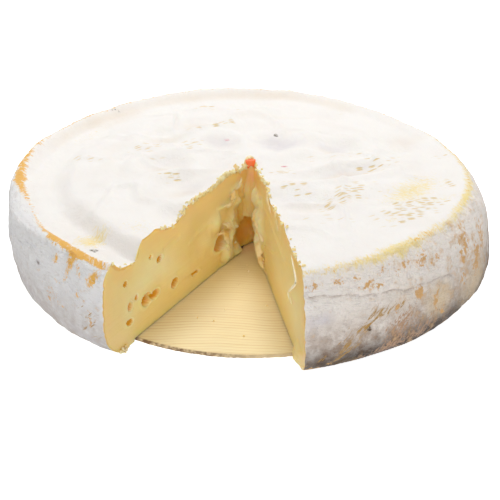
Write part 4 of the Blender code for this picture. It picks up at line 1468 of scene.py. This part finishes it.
def new_tree(name: str, inputs: dict[str, tuple[str, object]]) -> tuple[NodeTree, Node]:
    """Start a Geometry Nodes tree.

    Args:
        name: The tree's name.
        inputs: A socket type and a default for each named input after the geometry.

    Returns:
        The tree and its input node.
    """
    tree = bpy.data.node_groups.new(name, "GeometryNodeTree")
    tree.interface.new_socket("Geometry", in_out="INPUT", socket_type="NodeSocketGeometry")
    for key, (kind, default) in inputs.items():
        socket = tree.interface.new_socket(key, in_out="INPUT", socket_type=kind)
        if default is not None:
            socket.default_value = default
    tree.interface.new_socket("Geometry", in_out="OUTPUT", socket_type="NodeSocketGeometry")
    return tree, tree.nodes.new("NodeGroupInput")


@dataclass
class WoodenDisc:
    """The thin disc under the cheese, with the small bites of its stamped edge."""

    radius: float = 60.5
    thickness: float = 1.0
    segments: int = 480
    bite: float = 0.35
    bite_size: float = 1.7
    edge_round: float = 0.12
    seed: int = 4

    def tree(self) -> NodeTree:
        """Build the tree that makes the disc."""
        tree, given = new_tree("stamped_disc", {
            "Radius": ("NodeSocketFloat", 0.06), "Thickness": ("NodeSocketFloat", 0.001),
            "Bite": ("NodeSocketFloat", 0.0003), "Bite Size": ("NodeSocketFloat", 0.0017),
            "Edge Round": ("NodeSocketFloat", 0.0001), "Seed": ("NodeSocketInt", 0),
            "Material": ("NodeSocketMaterial", None)})
        put = partial(add, tree)
        body = put("GeometryNodeMeshCylinder", {"Vertices": self.segments, "Side Segments": 4,
            "Fill Segments": 1, "Radius": given.outputs["Radius"], "Depth": given.outputs["Thickness"]})
        place = put("GeometryNodeInputPosition")
        axes = put("SeparateXYZ", (place,))
        flat = put("CombineXYZ", (axes, axes.outputs[1]))
        seed = put("Math", (given.outputs["Seed"], 1.7), operation="MULTIPLY")
        size = put("Math", (1.0, given.outputs["Bite Size"]), operation="DIVIDE")
        bites = put("TexNoise", {"Vector": flat, "W": seed, "Scale": size, "Detail": 2.0},
            noise_dimensions="4D")
        bitten = put("MapRange", {"Value": bites, "From Min": 0.4, "From Max": 0.75})
        cut = put("Math", (bitten, given.outputs["Bite"]), operation="MULTIPLY")
        half = put("Math", (given.outputs["Thickness"], 0.5), operation="MULTIPLY")
        height = put("Math", (axes.outputs[2], half), operation="DIVIDE")
        height = put("Math", (height,), operation="ABSOLUTE")
        height = put("Math", (height, 4.0), operation="POWER")
        cut = put("Math", (height, given.outputs["Edge Round"], cut), operation="MULTIPLY_ADD")
        cut = put("Math", (cut, -1.0), operation="MULTIPLY")
        way = put("VectorMath", (flat,), operation="NORMALIZE")
        push = put("VectorMath", {0: way, "Scale": cut}, operation="SCALE")
        raised = put("CombineXYZ", {2: half})
        push = put("VectorMath", (push, raised))
        shaped = put("GeometryNodeSetPosition", {"Geometry": body.outputs["Mesh"], "Offset": push})
        real = put("GeometryNodeRealizeInstances", (shaped,))
        dressed = put("GeometryNodeSetMaterial", {"Geometry": real, "Material": given.outputs["Material"]})
        put("NodeGroupOutput", (dressed,))
        return tree

    def build(self, material: Material) -> Object:
        """Make the disc."""
        start = placed("spruce_disc", bpy.data.meshes.new("spruce_disc"))
        disc = realised(start, self.tree(), {
            "Radius": self.radius * MM, "Thickness": self.thickness * MM, "Bite": self.bite * MM,
            "Bite Size": self.bite_size * MM, "Edge Round": self.edge_round * MM, "Seed": self.seed,
            "Material": material})
        disc.data.shade_smooth()
        disc.data.set_sharp_from_angle(angle=math.radians(35.0))
        return disc


@dataclass
class CaseinChip:
    """The bare end of the mark at the tip: a small worn, uneven chip with no lettering."""

    width: float = 3.0
    depth: float = 1.6
    height: float = 3.0
    foot_share: float = 0.6
    centre: tuple[float, float, float] = (-0.5, -0.6, 28.0)
    rounding: float = 0.45

    def build(self, material: Material) -> Object:
        """Make the chip."""
        shape = bmesh.new()
        size = Matrix.Diagonal((self.width, self.depth, self.height, 1.0))
        bmesh.ops.create_cube(shape, size=1.0, matrix=size)
        bmesh.ops.bevel(
            shape, geom=shape.edges[:], offset=self.rounding, segments=3, affect="EDGES", profile=0.6)
        bmesh.ops.triangulate(shape, faces=shape.faces[:])
        bmesh.ops.subdivide_edges(shape, edges=shape.edges[:], cuts=3, use_grid_fill=True)
        places = np.array([vertex.co for vertex in shape.verts])
        share = np.clip(places[:, 2] / self.height + 0.5, 0.0, 1.0)
        narrow = self.foot_share + (1.0 - self.foot_share) * share
        places[:, 0] *= narrow
        places += 0.14 * np.stack([noise(places, 1.3, seed, 2) for seed in (131, 133, 135)], axis=-1)
        limit = np.array([self.width, self.depth, self.height]) / 2
        places = np.clip(places, -limit, limit) + np.array(self.centre)
        for vertex, place in zip(shape.verts, places):
            vertex.co = Vector(place) * MM
        bmesh.ops.recalc_face_normals(shape, faces=shape.faces)
        mesh = bpy.data.meshes.new("casein_chip")
        shape.to_mesh(mesh)
        shape.free()
        mesh.materials.append(material)
        mesh.shade_smooth()
        return placed("casein_chip", mesh)


@dataclass(frozen=True)
class Shred:
    """A torn strip of paste: its middle line, and at each point its width and thickness."""

    name: str
    # x, y, z, width, thickness.
    line: Rows
    # Which way its width lies.
    across: tuple[float, float, float]
    jag: float = 0.5
    steps: int = 36
    sides: int = 14
    seed: int = 7

    def build(self, material: Material) -> Object:
        """Make the strip as a closed mesh that tapers at both ends."""
        nodes = np.array(self.line)
        at = np.linspace(0.0, len(nodes) - 1.0, self.steps + 1)
        padded = np.concatenate([2 * nodes[:1] - nodes[1:2], nodes, 2 * nodes[-1:] - nodes[-2:-1]])
        low = np.minimum(at.astype(int), len(nodes) - 2)
        t = (at - low)[:, None]
        a, b, c, d = (padded[low + k] for k in range(4))
        square, cube = 2 * a - 5 * b + 4 * c - d, 3 * b - a - 3 * c + d
        path = 0.5 * (2 * b + (c - a) * t + square * t**2 + cube * t**3)
        middle, width, thick = path[:, :3], path[:, 3], path[:, 4]
        along = np.gradient(middle, axis=0)
        along /= np.linalg.norm(along, axis=1, keepdims=True)
        wide = np.array(self.across) - (along @ np.array(self.across))[:, None] * along
        wide /= np.linalg.norm(wide, axis=1, keepdims=True)
        out = np.cross(along, wide)
        ends = np.sin(math.pi * np.clip(np.linspace(0.03, 0.97, len(at)), 0, 1)) ** 0.35
        rows = []
        for side in range(self.sides):
            turn = 2 * math.pi * side / self.sides
            edge = np.abs(math.cos(turn)) ** 2 * self.jag
            ragged = 1.0 + edge * noise(middle + 3.1 * np.sign(math.cos(turn)), 0.9, self.seed, 2)
            reach = 0.5 * width * ends * ragged
            rows.append(middle + wide * (math.cos(turn) * reach)[:, None]
                        + out * (math.sin(turn) * 0.5 * thick * ends)[:, None])
        rings = np.stack(rows, axis=1)
        skin = Skin()
        numbers = skin.add_points(rings.reshape(-1, 3), {}).reshape(rings.shape[:2])
        skin.quads(np.concatenate([numbers, numbers[:, :1]], axis=1), 0)
        for ring, place in ((numbers[0], middle[0]), (numbers[-1], middle[-1])):
            centre = skin.add_points(place[None], {})[0]
            skin.add_faces([(ring[i], ring[(i + 1) % len(ring)], centre) for i in range(len(ring))], 0)
        return skin.object(self.name, [material], 70.0)


def on_cut(face: CutFace, along: float, height: float, out: float) -> tuple[float, float, float]:
    """Place on a cut: how far along it, how high, and how far out of the paste."""
    tip = np.array([*WheelForm().tip, 0.0])
    place = tip + face.way * along + face.facing * out
    return (float(place[0]), float(place[1]), height)


def strip(face: CutFace, points: Rows) -> Rows:
    """Turn points of a cut into a strip's middle line. Each is along, height, out, width, thickness."""
    return tuple((*on_cut(face, *point[:3]), *point[3:]) for point in points)


SHREDS = (
    Shred("curl_of_paste", strip(RIGHT_FACE, (
        (55.2, 26.4, 0.2, 0.6, 0.4), (60.5, 26.2, 0.8, 0.9, 0.5), (65.8, 24.7, 1.3, 0.95, 0.5),
        (62.8, 21.2, 1.7, 0.95, 0.5), (58.6, 17.6, 1.5, 0.8, 0.45), (57, 15, 0.9, 0.7, 0.4),
        (56.9, 13, 0.3, 0.5, 0.3))), across=(0.2, 0.2, 1), jag=0.15, steps=60, seed=201),
    Shred("flap_right_upper", strip(RIGHT_FACE, (
        (11.4, 18.4, 0.7, 0.8, 0.7), (12.8, 17.2, 1.3, 2.4, 1), (15.4, 14.6, 1.2, 2, 0.9),
        (17.6, 12.6, 1, 1.6, 0.8), (19, 11, 0.5, 0.8, 0.5))), across=(1, -0.35, 0.1), seed=203),
    Shred("flap_right_lower", strip(RIGHT_FACE, (
        (17.4, 12.6, 0.6, 0.8, 0.6), (17.6, 10, 1.1, 1.8, 0.9), (17.2, 7.2, 1.2, 2.2, 0.9),
        (18, 4.6, 1, 1.8, 0.8), (19.6, 2.6, 0.4, 0.8, 0.5))), across=(1, -0.3, 0.1), seed=205),
    Shred("flake_right_near", strip(RIGHT_FACE, (
        (20.4, 27.8, -0.2, 0.5, 0.5), (22.6, 28, 0.1, 1.2, 0.6), (25.4, 26.8, 0.3, 1.4, 0.6),
        (28.2, 25, 0.2, 0.6, 0.4))), across=(0.3, 0.2, 1), seed=213),
    Shred("flake_right_far", strip(RIGHT_FACE, (
        (33.2, 28, -0.1, 0.5, 0.4), (34.8, 27.8, 0.2, 1.1, 0.5), (36.6, 26, 0.2, 0.9, 0.4),
        (38, 24.4, 0.1, 0.4, 0.3))), across=(0.3, 0.2, 1), seed=215),
    Shred("standing_crumb", strip(LEFT_FACE, (
        (8.2, 27.6, -0.5, 0.8, 0.8), (8.6, 28.8, -0.5, 1.5, 1.1), (8.9, 29.9, -0.6, 1.1, 0.9),
        (9, 30.6, -0.6, 0.5, 0.4))), across=(1, 0.2, 0), jag=0.6, seed=217),
    Shred("lip_upper", strip(LEFT_FACE, (
        (7.2, 25.6, 0.2, 0.9, 0.6), (8.4, 24.6, 0.7, 1.9, 0.9), (9.6, 23.8, 0.6, 1.6, 0.8),
        (10.8, 23.2, 0.2, 0.6, 0.5))), across=(0.3, 0.2, 1), seed=221),
    Shred("lip_middle", strip(LEFT_FACE, (
        (11.6, 23.8, 0.3, 0.6, 0.5), (12.9, 23, 0.8, 1.6, 0.9), (13.2, 21.6, 0.8, 1.3, 0.8),
        (12, 20.6, 0.3, 0.6, 0.5))), across=(1, 0.2, 0.4), seed=223),
    Shred("lip_lower", strip(LEFT_FACE, (
        (10.4, 20.8, 0.2, 0.6, 0.5), (12.6, 20.3, 0.7, 1.4, 0.8), (15, 20.3, 0.8, 1.3, 0.8),
        (17.8, 20.6, 0.2, 0.5, 0.4))), across=(0.2, 0.2, 1), seed=225),
    Shred("curl_at_cavity", strip(LEFT_FACE, (
        (18, 15.4, 0.3, 0.8, 0.5), (16.4, 14.4, 1, 1.6, 0.7), (14.9, 12.8, 1.1, 1.3, 0.6),
        (14.4, 11, 0.4, 0.5, 0.3))), across=(-0.6, -0.8, 0.4), seed=227),
    Shred("flap_cavity", strip(LEFT_FACE, (
        (21, 13.4, 0.4, 1.6, 0.7), (18.6, 12.6, 1, 2.2, 0.7), (17.2, 10.6, 1.3, 1.8, 0.6),
        (16.4, 8.4, 1.2, 0.9, 0.4), (16.2, 7, 1, 0.25, 0.2))), across=(-0.6, -0.8, 0.4), jag=0.35, seed=207),
    Shred("chip_behind_mark", ((
        (-2.2, -0.4, 27.6, 0.8, 0.6), (-1.9, -0.2, 28.8, 1.6, 0.9), (-1.2, 0.4, 29.6, 1.8, 1),
        (-0.4, 0.7, 29.9, 1.2, 0.7), (0.5, 0.8, 29.4, 0.7, 0.5))), across=(0.2, 1, 0.2), seed=211),
)


@dataclass(frozen=True)
class CrumbBed:
    """One kind of loose crumb, at each of its places."""

    name: str
    # x, y and z of each crumb in millimetres.
    places: tuple[tuple[float, float, float], ...]
    size: float
    seed: int

    def build(self, material: Material, tree: NodeTree) -> Object:
        """Make the crumbs as one mesh."""
        mesh = bpy.data.meshes.new(self.name)
        mesh.from_pydata([Vector(place) * MM for place in self.places], [], [])
        crumbs = realised(placed(self.name, mesh), tree, {
            "Size": self.size * MM, "Seed": self.seed, "Material": material})
        crumbs.data.shade_smooth()
        return crumbs


def crumb_tree() -> NodeTree:
    """Build the tree that turns points into uneven crumbs."""
    tree, given = new_tree("crumbs", {
        "Size": ("NodeSocketFloat", 0.0005), "Seed": ("NodeSocketInt", 0),
        "Material": ("NodeSocketMaterial", None)})
    put = partial(add, tree)
    ball = put("GeometryNodeMeshIcoSphere", {"Radius": given.outputs["Size"], "Subdivisions": 2})
    turn = put("FunctionNodeRandomValue", {"Max": (6.283, 6.283, 6.283), "Seed": given.outputs["Seed"]},
        data_type="FLOAT_VECTOR")
    grow = put("FunctionNodeRandomValue", {"Min": (0.45, 0.35, 0.3), "Max": (1.5, 1.1, 0.8),
        "Seed": given.outputs["Seed"]}, data_type="FLOAT_VECTOR")
    spread = put("GeometryNodeMeshToPoints", {"Mesh": given.outputs["Geometry"]})
    placed = put("GeometryNodeInstanceOnPoints", {"Points": spread, "Instance": ball.outputs["Mesh"],
        "Rotation": turn.outputs["Value"], "Scale": grow.outputs["Value"]})
    real = put("GeometryNodeRealizeInstances", (placed,))
    place = put("GeometryNodeInputPosition")
    dents = put("TexNoise", {"Vector": place, "Scale": 1400.0, "Detail": 1.0})
    centred = put("VectorMath", (dents.outputs["Color"], (0.5, 0.5, 0.5)), operation="SUBTRACT")
    push = put("VectorMath", {0: centred, "Scale": given.outputs["Size"]}, operation="SCALE")
    push = put("VectorMath", {0: push, "Scale": 1.6}, operation="SCALE")
    shaped = put("GeometryNodeSetPosition", {"Geometry": real, "Offset": push})
    dressed = put("GeometryNodeSetMaterial", {"Geometry": shaped, "Material": given.outputs["Material"]})
    put("NodeGroupOutput", (dressed,))
    return tree


@dataclass
class Crumbs:
    """Everything loose: crumbs along the cut rind, at the foot of the cuts and on the disc."""

    form: WheelForm
    # Distance along the cut, and crumbs for each millimetre of it.
    left_rim: Rows = (
        (1.5, 7), (6.5, 8), (9, 4), (13, 9), (19, 9), (22, 5), (36, 3.6), (42, 0.5),
        (66, 0.3), (71, 1))
    right_rim: Rows = (
        (1.5, 1.6), (12, 0.8), (20, 2.4), (25, 0.5), (50, 0.3), (58, 1), (64, 0.5))

    def rim_places(self, face: CutFace, density: Rows, seed: int) -> list:
        """Places of crumbs along the rind's cut edge."""
        draw = np.random.default_rng(seed)
        reach = float(self.form.reach(np.array([face.azimuth]), np.ones(1))[0])
        found = []
        stops, rates = zip(*density)
        along = stops[0]
        while along < stops[-1]:
            along += draw.exponential(1.0 / max(np.interp(along, stops, rates), 0.05))
            back = abs(draw.normal(0.0, 0.55))
            turn = math.degrees(back / max(along, 2.0)) * -face.side.value
            stage = min(along / reach, 0.995)
            place = self.form.surface(np.array([face.azimuth + turn]), np.array([stage]))[0]
            place = place + face.facing * 0.15 + np.array([0.0, 0.0, draw.uniform(-0.25, 0.15)])
            found.append(place)
        return found

    def foot_places(self, face: CutFace, low: float, high: float, top: float, count: int, seed: int) -> list:
        """Places of crumbs low on a cut, near its outer corner or under the tears."""
        draw = np.random.default_rng(seed)
        found = []
        for _ in range(count):
            along, height = draw.uniform(low, high), 0.5 + top * draw.uniform() ** 1.8
            found.append(np.array(on_cut(face, along, height, abs(draw.normal(0.25, 0.25)))))
        return found

    def disc_places(self, count: int, seed: int) -> list:
        """Places of the few crumbs that fell on the disc."""
        draw = np.random.default_rng(seed)
        found = []
        for _ in range(count):
            along, turn = draw.uniform(14.0, 56.0), draw.uniform(-27.0, 7.0)
            angle = math.radians(turn)
            found.append(np.array([self.form.tip[0] + along * math.sin(angle),
                                   self.form.tip[1] - along * math.cos(angle), 1.1]))
        return found

    def build(self, rind: Material, paste: Material) -> list[Object]:
        """Make each kind of crumb as one piece."""
        tree = crumb_tree()
        rim = self.rim_places(LEFT_FACE, self.left_rim, 301)
        rim += self.rim_places(RIGHT_FACE, self.right_rim, 303)
        foot = self.foot_places(LEFT_FACE, 66.5, 69.5, 1.2, 34, 305)
        foot += self.foot_places(RIGHT_FACE, 63.0, 65.5, 2.2, 30, 307)
        foot += self.foot_places(RIGHT_FACE, 11.0, 20.0, 12.0, 26, 309)
        foot += self.foot_places(LEFT_FACE, 10.0, 18.0, 6.0, 16, 311)
        kinds = (
            ("crumbs_of_rind", rim, 0.56, 11, rind), ("crumbs_of_paste", foot, 0.45, 13, paste),
            ("crumbs_on_disc", self.disc_places(9, 313), 0.3, 17, paste),
        )
        return [CrumbBed(name, tuple(map(tuple, places)), size, seed).build(material, tree)
                for name, places, size, seed, material in kinds]


@dataclass
class Studio:
    """A plain white floor, a soft sky of light, one broad lamp, and the photograph's viewpoint."""

    pitch: float = 28.732
    camera_place: tuple[float, float, float] = (-0.626, -311.64, 169.89)
    focal_pixels: float = 1162.03
    frame_pixels: float = 500.0
    sensor: float = 36.0
    floor_size: float = 8.0
    sky_top: float = 0.34
    sky_low: float = 0.82
    sky_below: float = 0.34
    front_fill: float = 0.66
    lamp_place: tuple[float, float, float] = (0.03, 0.52, 0.86)
    lamp_size: float = 0.42
    lamp_power: float = 5.5
    table_glow: float = 0.85

    def camera(self) -> None:
        """Place the camera where the photograph was taken from."""
        data = bpy.data.cameras.new("camera")
        data.sensor_width = self.sensor
        data.lens = self.focal_pixels / self.frame_pixels * self.sensor
        data.clip_start = 0.01
        data.clip_end = 50.0
        camera = placed("camera", data)
        camera.location = Vector(self.camera_place) * MM
        camera.rotation_euler = (math.radians(90.0 - self.pitch), 0.0, 0.0)
        bpy.context.scene.camera = camera

    def floor(self) -> None:
        """Lay the floor."""
        mesh = bpy.data.meshes.new("floor")
        half = self.floor_size / 2
        corners = [(-half, -half, 0.0), (half, -half, 0.0), (half, half, 0.0), (-half, half, 0.0)]
        mesh.from_pydata(corners, [], [(0, 1, 2, 3)])
        floor = placed("floor", mesh)
        material = bpy.data.materials.new("white_floor")
        material.use_nodes = True
        shader = material.node_tree.nodes["Principled BSDF"]
        shader.inputs["Base Color"].default_value = linear("#FFFFFF")
        shader.inputs["Roughness"].default_value = 0.9
        shader.inputs["Specular IOR Level"].default_value = 0.1
        shader.inputs["Emission Color"].default_value = linear("#FFFFFF")
        shader.inputs["Emission Strength"].default_value = self.table_glow
        mesh.materials.append(material)
        floor.visible_diffuse = False

    def light(self) -> None:
        """Light the sky and hang the lamp."""
        world = bpy.data.worlds.new("studio")
        bpy.context.scene.world = world
        world.use_nodes = True
        tree = world.node_tree
        tree.nodes.clear()
        put = partial(add, tree)
        way = put("TexCoord").outputs["Generated"]
        up = put("SeparateXYZ", (way,)).outputs[2]
        above = put("MapRange", {"Value": up, "From Min": 0.0, "From Max": 1.0, "To Min": self.sky_low,
            "To Max": self.sky_top})
        side = put("MapRange", {"Value": up, "From Min": -0.08, "From Max": 0.08})
        level = put("Mix", {0: side, 2: self.sky_below, 3: above}, data_type="FLOAT")
        toward = put("SeparateXYZ", (way,)).outputs[1]
        fill = put("MapRange", {"Value": toward, "From Min": -0.2, "From Max": -0.9,
            "To Max": self.front_fill})
        level = put("Math", (level, fill))
        sky = put("Background", {"Color": linear("#FFFFFF"), "Strength": level})
        put("OutputWorld", {"Surface": sky})
        data = bpy.data.lights.new("lamp", "AREA")
        data.shape = "DISK"
        data.size = self.lamp_size
        data.energy = self.lamp_power
        lamp = placed("lamp", data)
        lamp.location = self.lamp_place
        lamp.rotation_euler = (-Vector(self.lamp_place)).to_track_quat("-Z", "Y").to_euler()

    def build(self) -> None:
        """Set the stage."""
        self.camera()
        self.floor()
        self.light()
        view = bpy.context.scene.view_settings
        view.view_transform = "Standard"
        view.look = "None"
        view.exposure = 0.0
        view.gamma = 1.0


def main() -> None:
    """Build every piece in order."""
    logging.basicConfig(level=logging.INFO, format="%(name)s %(message)s")
    Studio().build()
    form = WheelForm()
    rind, paste, crumb = BloomyRind().build(), SoftPaste().build(), Crumb().build()
    cheese = Cheese(form, Weathering(), (LEFT_FACE, RIGHT_FACE)).build([rind, paste])
    keep(cheese, Slot.RIND, "cheese")
    keep(WoodenDisc().build(PeeledSpruce().build()), Slot.SPRUCE, "wooden_disc")
    keep(CaseinChip().build(DyedCasein().build()), Slot.CASEIN, "casein_mark")
    torn = Crumb("torn_paste", light="#FBEBC0", dark="#EDCB7C", size=3.0).build()
    pale = Crumb("pale_curl_of_paste", light="#FFF6DE", dark="#F4E2B8", size=3.0).build()
    for shred in SHREDS:
        keep(shred.build(pale if shred.name == "curl_of_paste" else torn), Slot.PASTE)
    for piece in Crumbs(form).build(crumb, torn):
        keep(piece, Slot.PASTE)


if __name__ == "__main__":
    main()
